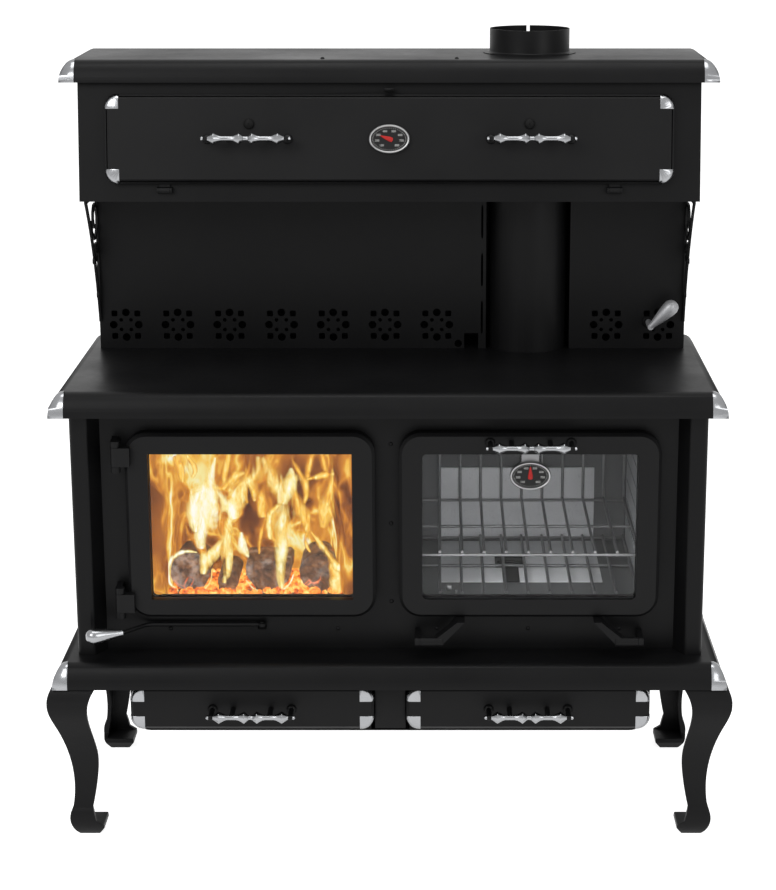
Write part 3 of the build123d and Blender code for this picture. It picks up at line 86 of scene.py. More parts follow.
def softEdge(width, segments=2):
    return "BEVEL", {"width": width, "segments": segments, "limit_method": "ANGLE", "angle_limit": math.radians(30),
                     "use_clamp_overlap": True}


def meshFrom(name, build, matrix=None, merge=True):
    bm = bmesh.new()
    build(bm)
    if merge:
        bmesh.ops.remove_doubles(bm, verts=bm.verts, dist=1e-6)
        bmesh.ops.recalc_face_normals(bm, faces=bm.faces)
    mesh = bpy.data.meshes.new(name)
    bm.to_mesh(mesh)
    bm.free()
    if matrix:
        mesh.transform(matrix)
    return mesh


def camelName(node):
    head, *rest = node.split("_")
    return head + "".join(word.capitalize() for word in rest)


def place(obj, body, slotName, *replaced):
    if replaced:
        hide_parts(*replaced)
    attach(obj, body)
    return obj


def makePiece(name, build, materials, body, slotName, *replaced, matrix=None, merge=True, shape=None, smooth=0):
    obj = linkObject(name, meshFrom(name, build, matrix, merge))
    if shape:
        reshape(obj, *shape)
    if smooth:
        smoothByAngle(obj.data, smooth)
    setMaterials(obj, *materials)
    return place(obj, body, slotName, *replaced)


def frameOn(origin, across, out):
    # matrix that puts a piece drawn in the XY plane onto a face: across is its X, out its Z
    across, out = Vector(across).normalized(), Vector(out).normalized()
    turn = Matrix((across, out.cross(across), out)).transposed().to_4x4()
    return Matrix.Translation(Vector(origin)) @ turn


def aimed(spot, along, up="Z"):
    # matrix that puts a turned piece, drawn along X, at a spot
    return Matrix.Translation(Vector(spot)) @ Vector(along).to_track_quat("X", up).to_matrix().to_4x4()


alongZ = Matrix.Rotation(math.radians(-90), 4, "Y")  # turns a turned piece out of its face


def around(sides):
    return [(math.cos(math.tau * i / sides), math.sin(math.tau * i / sides)) for i in range(sides)]


def bridge(bm, rings):
    for first, second in zip(rings, rings[1:]):
        for i in range(len(first)):
            j = (i + 1) % len(first)
            bm.faces.new((first[i], first[j], second[j], second[i]))


def lathe(bm, stations, sides, matrix=Matrix()):
    # stations of (run, radius) turned about X; a radius of 0 is a pole
    rings = [[bm.verts.new(matrix @ Vector((run, radius * c, radius * s))) for c, s in around(sides if radius else 1)]
             for run, radius in stations]
    for first, second in zip(rings, rings[1:]):
        if len(first) == len(second):
            bridge(bm, (first, second))
            continue
        pole, ring = (first[0], second) if len(first) == 1 else (second[0], first)
        for i in range(sides):
            bm.faces.new((pole, ring[i], ring[(i + 1) % sides]))


def eased(points, steps):
    # Catmull-Rom through the points, for soft outlines
    ends = [points[0], *points, points[-1]]
    line = []
    for before, start, finish, after in zip(ends, ends[1:], ends[2:], ends[3:]):
        for step in range(steps):
            t = step / steps
            line.append(tuple(0.5 * (2 * b + (c - a) * t + (2 * a - 5 * b + 4 * c - d) * t * t
                                     + (3 * b - a - 3 * c + d) * t ** 3)
                              for a, b, c, d in zip(before, start, finish, after)))
    return line + [tuple(points[-1])]


def tube(bm, path, radius, sides):
    # round bar along a path of points, closed at its ends
    points = [Vector(point) for point in path]
    side = (points[1] - points[0]).orthogonal()
    rings = []
    for index, point in enumerate(points):
        ahead = (points[min(index + 1, len(points) - 1)] - points[max(index - 1, 0)]).normalized()
        side = (side - ahead * side.dot(ahead)).normalized()
        other = ahead.cross(side)
        rings.append([bm.verts.new(point + (side * c + other * s) * radius) for c, s in around(sides)])
    bridge(bm, rings)
    bm.faces.new(rings[0])
    bm.faces.new(rings[-1])


def box(bm, low, high):
    verts = [bm.verts.new((x, y, z)) for x in (low[0], high[0]) for y in (low[1], high[1]) for z in (low[2], high[2])]
    for face in ((0, 1, 3, 2), (4, 6, 7, 5), (0, 4, 5, 1), (2, 3, 7, 6), (0, 2, 6, 4), (1, 5, 7, 3)):
        bm.faces.new([verts[i] for i in face])


class Tree:
    # shorthand for a node tree: put gives the new node, add gives its first output
    def __init__(self, tree, prefix="ShaderNode"):
        self.tree = tree
        self.prefix = prefix

    def feed(self, node, inputs):
        for key, value in inputs.items():
            socket = node.inputs[key]
            if isinstance(value, bpy.types.NodeSocket):
                self.tree.links.new(value, socket)
            else:
                socket.default_value = (*value, 1.0) if socket.type == "RGBA" else value

    def put(self, kind, inputs=None, **settings):
        made = self.tree.nodes.new(kind if "Node" in kind else self.prefix + kind)
        for key, value in settings.items():
            setattr(made, key, value)
        self.feed(made, inputs or {})
        return made

    def add(self, kind, inputs=None, **settings):
        return self.put(kind, inputs, **settings).outputs[0]


class Geo(Tree):
    # geometry tree whose own inputs are a geometry, the named numbers and a material
    def __init__(self, name, *numbers, whole=()):
        super().__init__(bpy.data.node_groups.new(name, "GeometryNodeTree"), "GeometryNode")
        sockets = [("Geometry", "Geometry"), *((label, "Int" if label in whole else "Float") for label in numbers),
                   ("Material", "Material")]
        for label, kind in sockets:
            self.tree.interface.new_socket(label, in_out="INPUT", socket_type="NodeSocket" + kind)
        self.tree.interface.new_socket("Geometry", in_out="OUTPUT", socket_type="NodeSocketGeometry")
        given = self.tree.nodes.new("NodeGroupInput").outputs
        self.mesh, self.material = given["Geometry"], given["Material"]
        self.numbers = [given[label] for label in numbers]

    def axes(self, x, y, z):
        return self.add("ShaderNodeCombineXYZ", {"X": x, "Y": y, "Z": z})

    def turned(self, vector, axis):
        return self.add("FunctionNodeAlignRotationToVector", {"Vector": vector}, axis=axis)

    def attribute(self, name, kind="FLOAT"):
        return self.put("InputNamedAttribute", {"Name": name}, data_type=kind).outputs["Attribute"]

    def join(self, *parts):
        made = self.put("JoinGeometry")
        for part in parts:
            self.tree.links.new(part, made.inputs[0])
        return made.outputs[0]

    def scatter(self, points, instance, turn, **more):
        wanted = {"Points": points, "Instance": instance, "Rotation": turn, **more}
        return self.finish(self.add("InstanceOnPoints", wanted))

    def finish(self, geometry):
        solid = self.add("RealizeInstances", {"Geometry": geometry})
        painted = self.add("SetMaterial", {"Geometry": solid, "Material": self.material})
        self.tree.links.new(painted, self.tree.nodes.new("NodeGroupOutput").inputs[0])
        return self.tree


def grow(name, mesh, tree, material, matrix=None, smooth=0, **values):
    # runs a geometry tree on a mesh and keeps the result as a plain mesh
    obj = linkObject(name, mesh)
    modifier = obj.modifiers.new("grow", "NODES")
    modifier.node_group = tree
    wanted = {**values, "Material": material}
    for item in tree.interface.items_tree:
        if item.item_type == "SOCKET" and item.in_out == "INPUT" and item.name in wanted:
            modifier[item.identifier] = wanted[item.name]
    keepResult(obj)
    if matrix:
        obj.data.transform(matrix)
    if smooth:
        smoothByAngle(obj.data, smooth)
    return obj


def plainMesh(name, rows, edges=(), faces=(), **attributes):
    mesh = bpy.data.meshes.new(name)
    mesh.from_pydata(rows, list(edges), list(faces))
    for key, values in attributes.items():
        if isinstance(values[0], tuple):
            made = mesh.attributes.new(key, "FLOAT_VECTOR", "POINT")
            made.data.foreach_set("vector", [number for value in values for number in value])
        else:
            mesh.attributes.new(key, "FLOAT", "POINT").data.foreach_set("value", values)
    return mesh


def boltTree():
    # domed heads on points, each pointing along the point's own direction
    geo = Geo("boltHeads", "Radius", "Dome")
    radius, dome = geo.numbers
    head = geo.add("MeshUVSphere", {"Segments": 12, "Rings": 6, "Radius": 1.0})
    shaped = geo.add("Transform", {"Geometry": head, "Scale": geo.axes(radius, radius, dome)})
    points = geo.add("MeshToPoints", {"Mesh": geo.mesh})
    turn = geo.turned(geo.attribute("aim", "FLOAT_VECTOR"), "Z")
    return geo.scatter(points, shaped, turn)


def wireTree():
    # round wires along the edges of a mesh
    geo = Geo("roundWires", "Radius")
    line = geo.add("MeshToCurve", {"Mesh": geo.mesh})
    ring = geo.add("CurvePrimitiveCircle", {"Resolution": 10, "Radius": geo.numbers[0]})
    return geo.finish(geo.add("CurveToMesh", {"Curve": line, "Profile Curve": ring, "Fill Caps": True}))


def piercedTree():
    # flat sheet inside an outline, pierced where the loose points say, then given its thickness
    geo = Geo("piercedSheet", "Thickness", "Corner")
    thickness, corner = geo.numbers
    outline = geo.add("MeshToCurve", {"Mesh": geo.mesh})
    points = geo.add("MeshToPoints", {"Mesh": geo.mesh})
    disc = geo.add("CurvePrimitiveCircle", {"Resolution": 20, "Radius": 1.0})
    square = geo.add("CurvePrimitiveQuadrilateral", {"Width": 1.0, "Height": 1.0})
    soft = geo.add("FilletCurve", {"Curve": square, "Radius": corner, "Count": 3}, mode="POLY")
    cuts = []
    for kind, shape in ((1.0, disc), (2.0, soft)):
        chosen = geo.add("FunctionNodeCompare", {0: geo.attribute("kind"), 1: kind, "Epsilon": 0.1},
                         operation="EQUAL")
        made = geo.add("InstanceOnPoints", {"Points": points, "Selection": chosen, "Instance": shape,
                                            "Scale": geo.attribute("size", "FLOAT_VECTOR")})
        cuts.append(geo.add("RealizeInstances", {"Geometry": made}))
    front = geo.add("FillCurve", {"Curve": geo.join(outline, *cuts)}, mode="TRIANGLES")
    flipped = geo.add("FlipFaces", {"Mesh": front})
    depth = geo.add("ExtrudeMesh", {"Mesh": flipped, "Offset Scale": thickness, "Individual": False}, mode="FACES")
    return geo.finish(geo.add("MergeByDistance", {"Geometry": geo.join(front, depth), "Distance": 1e-6}))


def tickTree():
    # marks round an oval, each pointing outwards
    geo = Geo("dialTicks", "Count", "Half Width", "Half Height", "Length", "Width", "Depth", whole=("Count",))
    amount, halfWidth, halfHeight, length, width, depth = geo.numbers
    ring = geo.add("MeshCircle", {"Vertices": amount, "Radius": 1.0})
    oval = geo.add("Transform", {"Geometry": ring, "Scale": geo.axes(halfWidth, halfHeight, 1.0)})
    mark = geo.add("MeshCube", {"Size": (1, 1, 1)})
    turn = geo.turned(geo.add("InputPosition"), "Y")
    return geo.scatter(oval, mark, turn, Scale=geo.axes(width, length, depth))


def coalTree():
    # lumps strewn over a bed
    geo = Geo("coalBed", "Density", "Smallest", "Largest", "Seed", whole=("Seed",))
    density, smallest, largest, seed = geo.numbers
    points = geo.add("DistributePointsOnFaces", {"Mesh": geo.mesh, "Density": density, "Seed": seed})
    lump = geo.add("MeshIcoSphere", {"Radius": 1.0, "Subdivisions": 1})
    size = geo.put("FunctionNodeRandomValue", {2: smallest, 3: largest, "Seed": 4}, data_type="FLOAT").outputs[1]
    turn = geo.add("FunctionNodeRandomValue", {0: (0, 0, 0), 1: (6.28, 6.28, 6.28), "Seed": 7},
                   data_type="FLOAT_VECTOR")
    return geo.scatter(points, lump, turn, Scale=size)


boltHeads, roundWires, piercedSheet = boltTree(), wireTree(), piercedTree()
dialTicks, coalBed = tickTree(), coalTree()
print("geometry trees made")


class Shade(Tree):
    # shader tree with the sums and textures that the materials need
    def math(self, operation, *values, **settings):
        return self.add("Math", dict(enumerate(values)), operation=operation, **settings)

    def plus(self, total, *others):
        for other in others:
            total = self.math("ADD", total, other)
        return total

    def less(self, a, b):
        return self.math("SUBTRACT", a, b)

    def times(self, a, b):
        return self.math("MULTIPLY", a, b)

    def swing(self, value, share):
        return self.times(self.less(value, 0.5), share)

    def ramp(self, source, stops):
        made = self.put("ValToRGB", {0: source})
        cells = made.color_ramp.elements
        while len(cells) < len(stops):
            cells.new(0.5)
        for cell, (spot, colour) in zip(cells, stops):
            cell.position = spot
            cell.color = (*colour, 1.0)
        return made.outputs[0]

    def mask(self, source, low, high):
        return self.ramp(source, [(low, (0, 0, 0)), (high, (1, 1, 1))])

    def mixColour(self, share, a, b, blend="MIX"):
        return self.put("Mix", {0: share, 6: a, 7: b}, data_type="RGBA", blend_type=blend).outputs[2]

    def mapped(self, scale=(1, 1, 1)):
        return self.add("Mapping", {"Vector": self.put("TexCoord").outputs["Object"], "Scale": scale})

    def noise(self, scale, detail=3.0, roughness=0.5, distortion=0.0, vector=None, stretch=(1, 1, 1)):
        return self.add("TexNoise", {"Vector": vector or self.mapped(stretch), "Scale": scale, "Detail": detail,
                                     "Roughness": roughness, "Distortion": distortion})

    def bump(self, height, strength, distance):
        return self.add("Bump", {"Height": height, "Strength": strength, "Distance": distance})

    def soot(self, size, amount):
        return self.add("Group", {"Size": size, "Amount": amount}, node_tree=sootGroup)

    def seen(self):
        # 1 for what the camera sees straight on, in a mirror or through glass
        rays = self.put("LightPath").outputs
        return self.math("MAXIMUM", self.math("MAXIMUM", rays["Is Camera Ray"], rays["Is Glossy Ray"]),
                         rays["Is Transmission Ray"])

    def finish(self, inputs):
        self.feed(self.surface, inputs)
        return self.material


def newGroup(name, inputs, outputs):
    shade = Shade(bpy.data.node_groups.new(name, "ShaderNodeTree"))
    for way, sockets in (("INPUT", inputs), ("OUTPUT", outputs)):
        for label, kind in sockets.items():
            shade.tree.interface.new_socket(label, in_out=way, socket_type="NodeSocket" + kind)
    return shade, shade.tree.nodes.new("NodeGroupInput").outputs, shade.tree.nodes.new("NodeGroupOutput")


def makePaintGroup():
    # sprayed satin paint: fine orange peel, faint cloudiness and dust
    shade, given, out = newGroup(
        "stovePaint", {"Colour": "Color", "Cloud": "Float", "Roughness": "Float", "Grain": "Float", "Peel": "Float"},
        {"Colour": "Color", "Roughness": "Float", "Normal": "Vector"})
    cloud = shade.noise(6.0, 4.0)
    fine = shade.noise(60.0)
    peel = shade.noise(given["Grain"], 2.0)
    lift = shade.swing(cloud, given["Cloud"])
    dust = shade.mixColour(shade.times(cloud, given["Cloud"]), (0, 0, 0), (0.006, 0.006, 0.0062))
    shade.feed(out, {
        "Colour": shade.mixColour(1.0, given["Colour"], dust, "ADD"),
        "Roughness": shade.math("ADD", shade.plus(given["Roughness"], lift), shade.swing(fine, 0.08), use_clamp=True),
        "Normal": shade.bump(shade.times(peel, given["Peel"]), 1.0, 0.0006)})
    return shade.tree


def makeSootGroup():
    # soot or ash lying in uneven patches, as a mask
    shade, given, out = newGroup("sootPatches", {"Size": "Float", "Amount": "Float"}, {"Mask": "Float"})
    patch = shade.noise(given["Size"], 5.0, 0.65)
    shade.feed(out, {"Mask": shade.mask(shade.plus(patch, shade.less(given["Amount"], 0.5)), 0.42, 0.62)})
    return shade.tree


paintGroup, sootGroup = makePaintGroup(), makeSootGroup()


def newMaterial(name):
    material = bpy.data.materials.new(name)
    material.use_nodes = True
    material.node_tree.nodes.clear()
    shade = Shade(material.node_tree)
    shade.material, shade.surface = material, shade.put("BsdfPrincipled")
    shade.out = shade.put("OutputMaterial", {"Surface": shade.surface.outputs[0]})
    return shade


def darker(colour, share):
    return tuple(part * share for part in colour)


def paintMaterial(name, colour, roughness, specular, cloud=0.25, grain=900.0, peel=0.1):
    shade = newMaterial(name)
    coat = shade.put("Group", {}, node_tree=paintGroup)
    shade.feed(coat, {"Colour": colour, "Cloud": cloud, "Roughness": roughness, "Grain": grain, "Peel": peel})
    return shade.finish({"Base Color": coat.outputs["Colour"], "Roughness": coat.outputs["Roughness"],
                         "Normal": coat.outputs["Normal"], "Specular IOR Level": specular})


def metalMaterial(name, colour, roughness, smear, stretch=(1, 1, 1), scale=200.0, metallic=1.0):
    shade = newMaterial(name)
    streak = shade.noise(scale, stretch=stretch)
    return shade.finish({
        "Base Color": shade.ramp(shade.noise(18.0), [(0.3, darker(colour, 0.85)), (0.7, colour)]),
        "Metallic": metallic, "Roughness": shade.plus(shade.times(streak, smear), roughness),
        "Normal": shade.bump(streak, 0.25, 0.0003)})


def glassMaterial(name, tint):
    # clear pane that lets lamp light through to what is behind it
    shade = newMaterial(name)
    clear = shade.add("BsdfTransparent", {0: tint})
    shadow = shade.put("LightPath").outputs["Is Shadow Ray"]
    shade.feed(shade.out, {"Surface": shade.add("MixShader", {0: shadow, 1: shade.surface.outputs[0], 2: clear})})
    smudge = shade.ramp(shade.noise(14.0, 4.0, 0.6), [(0.45, (0, 0, 0)), (0.8, (0.04, 0.04, 0.04))])
    return shade.finish({"Base Color": tint, "Transmission Weight": 1.0, "IOR": 1.2, "Roughness": smudge})


def brickMaterial():
    shade = newMaterial("firebrickClay")
    tone = shade.ramp(shade.noise(9.0, 5.0, 0.6),
                      [(0.3, (0.20, 0.12, 0.07)), (0.55, (0.42, 0.28, 0.16)), (0.75, (0.55, 0.40, 0.26))])
    return shade.finish({
        "Base Color": shade.mixColour(shade.times(shade.soot(5.0, 0.55), 0.8), tone, (0.03, 0.027, 0.025)),
        "Roughness": 0.95, "Normal": shade.bump(shade.noise(420.0, 3.0, 0.7), 0.5, 0.002)})


ownLight = {"Base Color": (0, 0, 0), "Roughness": 1.0, "Specular IOR Level": 0.0}  # seen by its own light alone
fireTones = [(0.0, (0.04, 0.012, 0.006)), (0.2, (0.14, 0.04, 0.012)), (0.4, (0.40, 0.125, 0.022)),
             (0.56, (0.74, 0.28, 0.032)), (0.7, (0.98, 0.58, 0.09)), (0.84, (1.0, 0.86, 0.36)),
             (1.0, (1.0, 0.97, 0.86))]


def glowingWallMaterial():
    # the blaze behind the logs: bent bright filaments over brown and orange smoke
    shade = newMaterial("glowingFlames")
    warp = shade.put("TexNoise", {"Vector": shade.mapped((1, 1, 0.7)), "Scale": 8.0, "Detail": 3.0,
                                  "Roughness": 0.55})
    push = shade.add("VectorMath", {0: warp.outputs["Color"], "Scale": 0.14}, operation="SCALE")
    bent = [shade.add("VectorMath", {0: shade.mapped((1, 1, tall)), 1: push}, operation="ADD")
            for tall in (0.34, 0.5)]

    def filament(scale, thin):
        away = shade.math("ABSOLUTE", shade.less(shade.noise(scale, 2.0, vector=bent[0]), 0.5))
        return shade.mask(shade.less(1.0, shade.times(away, thin)), 0.0, 1.0)

    large = shade.math("POWER", filament(10.0, 9.0), 1.6)
    small = shade.math("POWER", filament(24.0, 10.0), 2.0)
    smoke = shade.noise(6.5, 4.0, 0.55, vector=bent[1])
    heat = shade.plus(shade.swing(smoke, 1.8), 0.3, shade.times(large, 0.36), shade.times(small, 0.16))
    return shade.finish({**ownLight, "Emission Color": shade.ramp(heat, fireTones), "Emission Strength": 0.95})


def flameMaterial():
    # one tongue: pale core, yellow body and torn orange edges, by its own UV map
    shade = newMaterial("flameTongue")
    run = shade.put("SeparateXYZ", {0: shade.add("UVMap", uv_map="flameRun")}).outputs
    across = shade.less(1.0, shade.times(shade.math("ABSOLUTE", shade.less(run["X"], 0.5)), 2.0))
    tip = shade.math("POWER", run["Y"], 2.5)
    tear = shade.noise(46.0, 4.0, 0.62, 0.9, stretch=(1, 1, 0.3))
    curl = shade.noise(90.0, 2.0, 0.5, 1.2, stretch=(1, 1, 0.4))
    hot = shade.put("Attribute", attribute_name="tongueHeat").outputs["Fac"]
    edge = shade.less(shade.plus(across, shade.swing(tear, 2.6)), shade.times(tip, 0.5))
    glow = shade.plus(shade.times(edge, 0.22), shade.times(hot, 0.38), 0.36, shade.swing(curl, 0.5))
    return shade.finish({**ownLight, "Emission Color": shade.ramp(glow, fireTones), "Emission Strength": 1.05,
                         "Alpha": shade.mask(edge, 0.1, 0.85)})


def emberMaterial():
    shade = newMaterial("emberGlow")
    fine = shade.noise(260.0, 3.0, 0.7)
    heat = shade.plus(shade.noise(34.0, 4.0, 0.6), shade.swing(fine, 0.5))
    glow = shade.ramp(heat, [(0.3, (0.09, 0.012, 0.004)), (0.42, (0.6, 0.09, 0.012)), (0.52, (1.0, 0.3, 0.03)),
                             (0.64, (1.0, 0.62, 0.16)), (0.78, (1.0, 0.86, 0.5))])
    return shade.finish({"Emission Color": glow, "Emission Strength": 1.35, "Base Color": (0.02, 0.015, 0.012),
                         "Roughness": 0.95, "Normal": shade.bump(fine, 0.8, 0.002)})


# the firelight colours are painted light: an emission that stands in for the fire's light on bark and cut ends
woodLooks = {
    "barkWood": {"stretch": (1, 0.3, 1), "grain": 60.0, "ash": (0.5, 0.47, 0.45), "firelight": (0.2, 0.085, 0.03),
                 "tones": [(0.35, (0.010, 0.006, 0.005)), (0.55, (0.075, 0.036, 0.02)), (0.72, (0.24, 0.12, 0.06))]},
    "cutWood": {"stretch": (1, 1, 1), "grain": 110.0, "ash": (0.03, 0.024, 0.03), "firelight": (0.19, 0.165, 0.13),
                "tones": [(0.3, (0.06, 0.055, 0.065)), (0.48, (0.2, 0.19, 0.2)), (0.62, (0.36, 0.34, 0.32)),
                          (0.78, (0.5, 0.45, 0.36))]}}


def logMaterial(name):
    shade, look = newMaterial(name), woodLooks[name]
    crack = shade.noise(look["grain"], 5.0, 0.7, stretch=look["stretch"])
    glow = shade.put("TexVoronoi", {"Scale": 52.0, "Vector": shade.mapped((1, 0.6, 1))}, feature="DISTANCE_TO_EDGE")
    seam = shade.times(shade.ramp(glow.outputs["Distance"], [(0.0, (1, 1, 1)), (0.08, (0, 0, 0))]),
                       shade.mask(shade.noise(17.0, 3.0, 0.6), 0.56, 0.7))
    # painted firelight: emission that stands in for the fire's light falling on the wood, under the glow of its own
    # cracks
    paintedFireGlow = shade.ramp(crack, [(0.35, (0.02, 0.008, 0.004)), (0.7, look["firelight"])])
    seamGlow = shade.ramp(seam, [(0.0, (0, 0, 0)), (0.35, (0.8, 0.1, 0.01)), (0.9, (1, 0.5, 0.12))])
    patchy = shade.times(shade.soot(30.0, 0.42), 0.6)
    return shade.finish({
        "Base Color": shade.mixColour(patchy, shade.ramp(crack, look["tones"]), look["ash"]), "Roughness": 0.92,
        "Emission Color": shade.mixColour(1.0, paintedFireGlow, seamGlow, "ADD"), "Emission Strength": 0.9,
        "Normal": shade.bump(crack, 1.0, 0.006)})


def ropeMaterial():
    shade = newMaterial("gasketRope")
    weave = shade.put("TexWave", {"Scale": 160.0, "Distortion": 1.5, "Vector": shade.mapped()},
                      bands_direction="DIAGONAL").outputs["Fac"]
    return shade.finish({"Base Color": shade.ramp(weave, [(0.2, (0.05, 0.05, 0.048)), (0.8, (0.2, 0.2, 0.19))]),
                         "Roughness": 1.0, "Normal": shade.bump(weave, 0.8, 0.002)})


def enamelMaterial(name, colour, roughness):
    # grey oven enamel with fine dark specks and faint baking marks
    shade = newMaterial(name)
    mark = shade.soot(7.0, 0.42)
    tone = shade.mixColour(shade.mask(shade.noise(700.0, 1.0), 0.66, 0.72), colour, darker(colour, 0.4))
    return shade.finish({"Base Color": shade.mixColour(shade.times(mark, 0.25), tone, darker(colour, 0.55)),
                         "Roughness": shade.plus(shade.times(mark, 0.12), roughness)})


satinBlack = paintMaterial("satinBlack", (0.0024, 0.0024, 0.0026), 0.40, 0.11)
doorBlack = paintMaterial("doorBlack", (0.0036, 0.0036, 0.0038), 0.44, 0.125, cloud=0.3)
castBlack = paintMaterial("castBlack", (0.0026, 0.0026, 0.0028), 0.46, 0.12, cloud=0.3, grain=420.0, peel=0.5)
innerBlack = paintMaterial("innerBlack", (0.003, 0.003, 0.003), 0.6, 0.1)
dialBlack = paintMaterial("dialBlack", (0.006, 0.006, 0.006), 0.35, 0.2, cloud=0.1)
markWhite = paintMaterial("markWhite", (0.42, 0.42, 0.41), 0.5, 0.3, cloud=0.1)
pointerRed = paintMaterial("pointerRed", (0.36, 0.012, 0.01), 0.4, 0.3, cloud=0.05)
chrome = metalMaterial("satinChrome", (0.30, 0.305, 0.315), 0.2, 0.06)
nickel = metalMaterial("satinNickel", (0.33, 0.333, 0.345), 0.38, 0.06, metallic=0.4)
bareSteel = metalMaterial("bareSteel", (0.22, 0.22, 0.225), 0.34, 0.2, (1, 14, 1), 120.0)
rackSteel = metalMaterial("rackSteel", (0.27, 0.27, 0.275), 0.42, 0.15, scale=160.0)
dialRim = metalMaterial("dialRim", (0.34, 0.34, 0.34), 0.3, 0.1)
# painted light: one oven enamel in three tones, the box darkest, the side ladders lighter and the back panel with its
# floor plate lightest, standing in for the light that reaches each part inside the oven
ovenGrey = enamelMaterial("ovenGrey", (0.1, 0.102, 0.106), 0.42)
panelGrey = enamelMaterial("panelGrey", (0.76, 0.765, 0.785), 0.5)
litLadderGrey = enamelMaterial("litLadderGrey", (0.36, 0.375, 0.39), 0.42)
doorGlass = glassMaterial("doorGlass", (0.95, 0.955, 0.955))
brickClay, gasketRope = brickMaterial(), ropeMaterial()
barkWood, cutWood = logMaterial("barkWood"), logMaterial("cutWood")
glowingWall, flameTongue, emberGlow = glowingWallMaterial(), flameMaterial(), emberMaterial()
print("materials made")


def dressNode(node, material, bevel, angle):
    # a merged, smooth-shaded copy of a CAD node stands for it
    def build(bm):
        bm.from_mesh(frame["nodes"][node].data)
        bmesh.ops.remove_doubles(bm, verts=bm.verts, dist=2e-6)
        if bevel:
            bmesh.ops.dissolve_limit(bm, angle_limit=math.radians(0.6), verts=bm.verts, edges=bm.edges)

    obj = linkObject(camelName(node), meshFrom(camelName(node), build, merge=False))
    if bevel:
        reshape(obj, *softEdge(bevel))
    smoothByAngle(obj.data, angle)
    # a large flat face shades flat up to its soft edges
    reshape(obj, "WEIGHTED_NORMAL", {"keep_sharp": True, "mode": "FACE_AREA"})
    setMaterials(obj, material)
    place(obj, nodeBody[node], nodeSlot[node], node)


dressed = [  # material, bevel, smoothing angle and CAD nodes
    (satinBlack, 0, 32, ("base_shelf", "cooktop", "closet_cover", "left_side_panel", "right_side_panel",
                         "front_plate", "rear_panel", "rear_shield", "flue_pipe", "flue_collar", "closet_box",
                         "drawer_housing")),
    (doorBlack, 0.003, 50, ("firebox_door_frame", "oven_door_frame", "closet_door", "left_drawer", "right_drawer")),
    (castBlack, 0.004, 40, ("leg_front_left", "leg_front_right", "leg_rear_left", "leg_rear_right")),
    (castBlack, 0.0007, 32, ("firebox_hinge_brackets", "oven_hinge_brackets", "oven_hinge_arms",
                             "closet_hinge_brackets", "left_scroll_bracket", "right_scroll_bracket")),
    (innerBlack, 0, 32, ("firebox_shell", "fire_grate")),
    (chrome, 0, 50, ("shelf_corner_caps", "cooktop_corner_caps", "cover_corner_caps", "left_drawer_corners",
                     "right_drawer_corners", "closet_door_corners", "side_pull")),
    (bareSteel, 0, 32, ("firebox_glass_retainer", "oven_glass_retainer", "leg_bolts")),
    (ovenGrey, 0, 32, ("oven_box",)),
    (doorGlass, 0, 32, ("firebox_door_glass", "oven_door_glass")),
    (brickClay, 0.0015, 32, ("firebricks", "baffle_plate")),
    (gasketRope, 0, 32, ("firebox_door_gasket", "oven_door_gasket"))]
for material, bevel, angle, nodes in dressed:
    for node in nodes:
        dressNode(node, material, bevel, angle)
print("CAD nodes dressed")

grip = {  # half of the turned bar as (run, radius), and the post that holds its end
    "half": [(0, 0.0041), (0.004, 0.0048), (0.0085, 0.0086), (0.0118, 0.0113), (0.0128, 0.0113), (0.0165, 0.0088),
             (0.022, 0.0058), (0.0275, 0.0047), (0.0445, 0.0047), (0.049, 0.0058), (0.0545, 0.0086), (0.0593, 0.0113),
             (0.0603, 0.0113), (0.0645, 0.0084), (0.069, 0.0052), (0.0735, 0.0029), (0.0775, 0.0023), (0.0795, 0.0036),
             (0.0815, 0.0042), (0.0835, 0.0034), (0.0848, 0.0016), (0.085, 0)],
    "earOut": 0.0755,
    "ear": [(-0.0045, 0), (-0.0045, 0.0036), (-0.0036, 0.0046), (0.004, 0.0048), (0.0377, 0.005), (0.0392, 0.0075),
            (0.0417, 0.0095), (0.0437, 0.0095), (0.0437, 0)]}
gripStations = [(-run, radius) for run, radius in reversed(grip["half"][1:])] + grip["half"]
forward = (0, -1, 0)
leanOut = (0, -0.9898, 0.1426)  # out of the closet's leaning front
gripPlaces = {
    "left_drawer_grip": ([(-0.264, -0.2665, 0.2525)], forward, "left_drawer_body"),
    "right_drawer_grip": ([(0.264, -0.2665, 0.2525)], forward, "right_drawer_body"),
    "oven_handle_grip": ([(0.264, -0.2525, 0.776)], forward, "oven_door"),
    "closet_handle_grips": ([(-0.267, -0.05857, 1.32178), (0.267, -0.05857, 1.32178)], leanOut, "closet_drop_door")}
for node, (places, out, body) in gripPlaces.items():
    def buildGrips(bm):
        for centre in places:
            lathe(bm, gripStations, 32, Matrix.Translation(centre))

    def buildEars(bm):
        for x, y, z in places:
            for side in (-1, 1):
                lathe(bm, grip["ear"], 20, aimed((x + side * grip["earOut"], y, z), -Vector(out)))

    makePiece(camelName(node), buildGrips, [chrome], body, "chrome", node, smooth=26)
    makePiece(camelName(node) + "Ears", buildEars, [castBlack], body, nodeSlot["oven_door_frame"], smooth=40)
print("handles made")

# teardrop that ends both levers, as (run, radius)
drop = [(0, 0.0058), (0.003, 0.0062), (0.012, 0.0078), (0.025, 0.0106), (0.038, 0.0132), (0.047, 0.0145),
        (0.055, 0.015), (0.061, 0.0138), (0.066, 0.0105), (0.069, 0.0058), (0.07, 0)]
dropStations = [(0, 0)] + eased(drop, 3)


def roundCorner(a, b, c, radius, steps=8):
    a, b, c = Vector(a), Vector(b), Vector(c)
    back, on = (a - b).normalized(), (c - b).normalized()
    half = back.angle(on) / 2
    cut = radius / math.tan(half)
    start, finish = b + back * cut, b + on * cut
    centre = b + (back + on).normalized() * (radius / math.sin(half))
    first, last = (start - centre).normalized(), (finish - centre).normalized()
    return [centre + first.slerp(last, step / steps) * radius for step in range(steps + 1)]


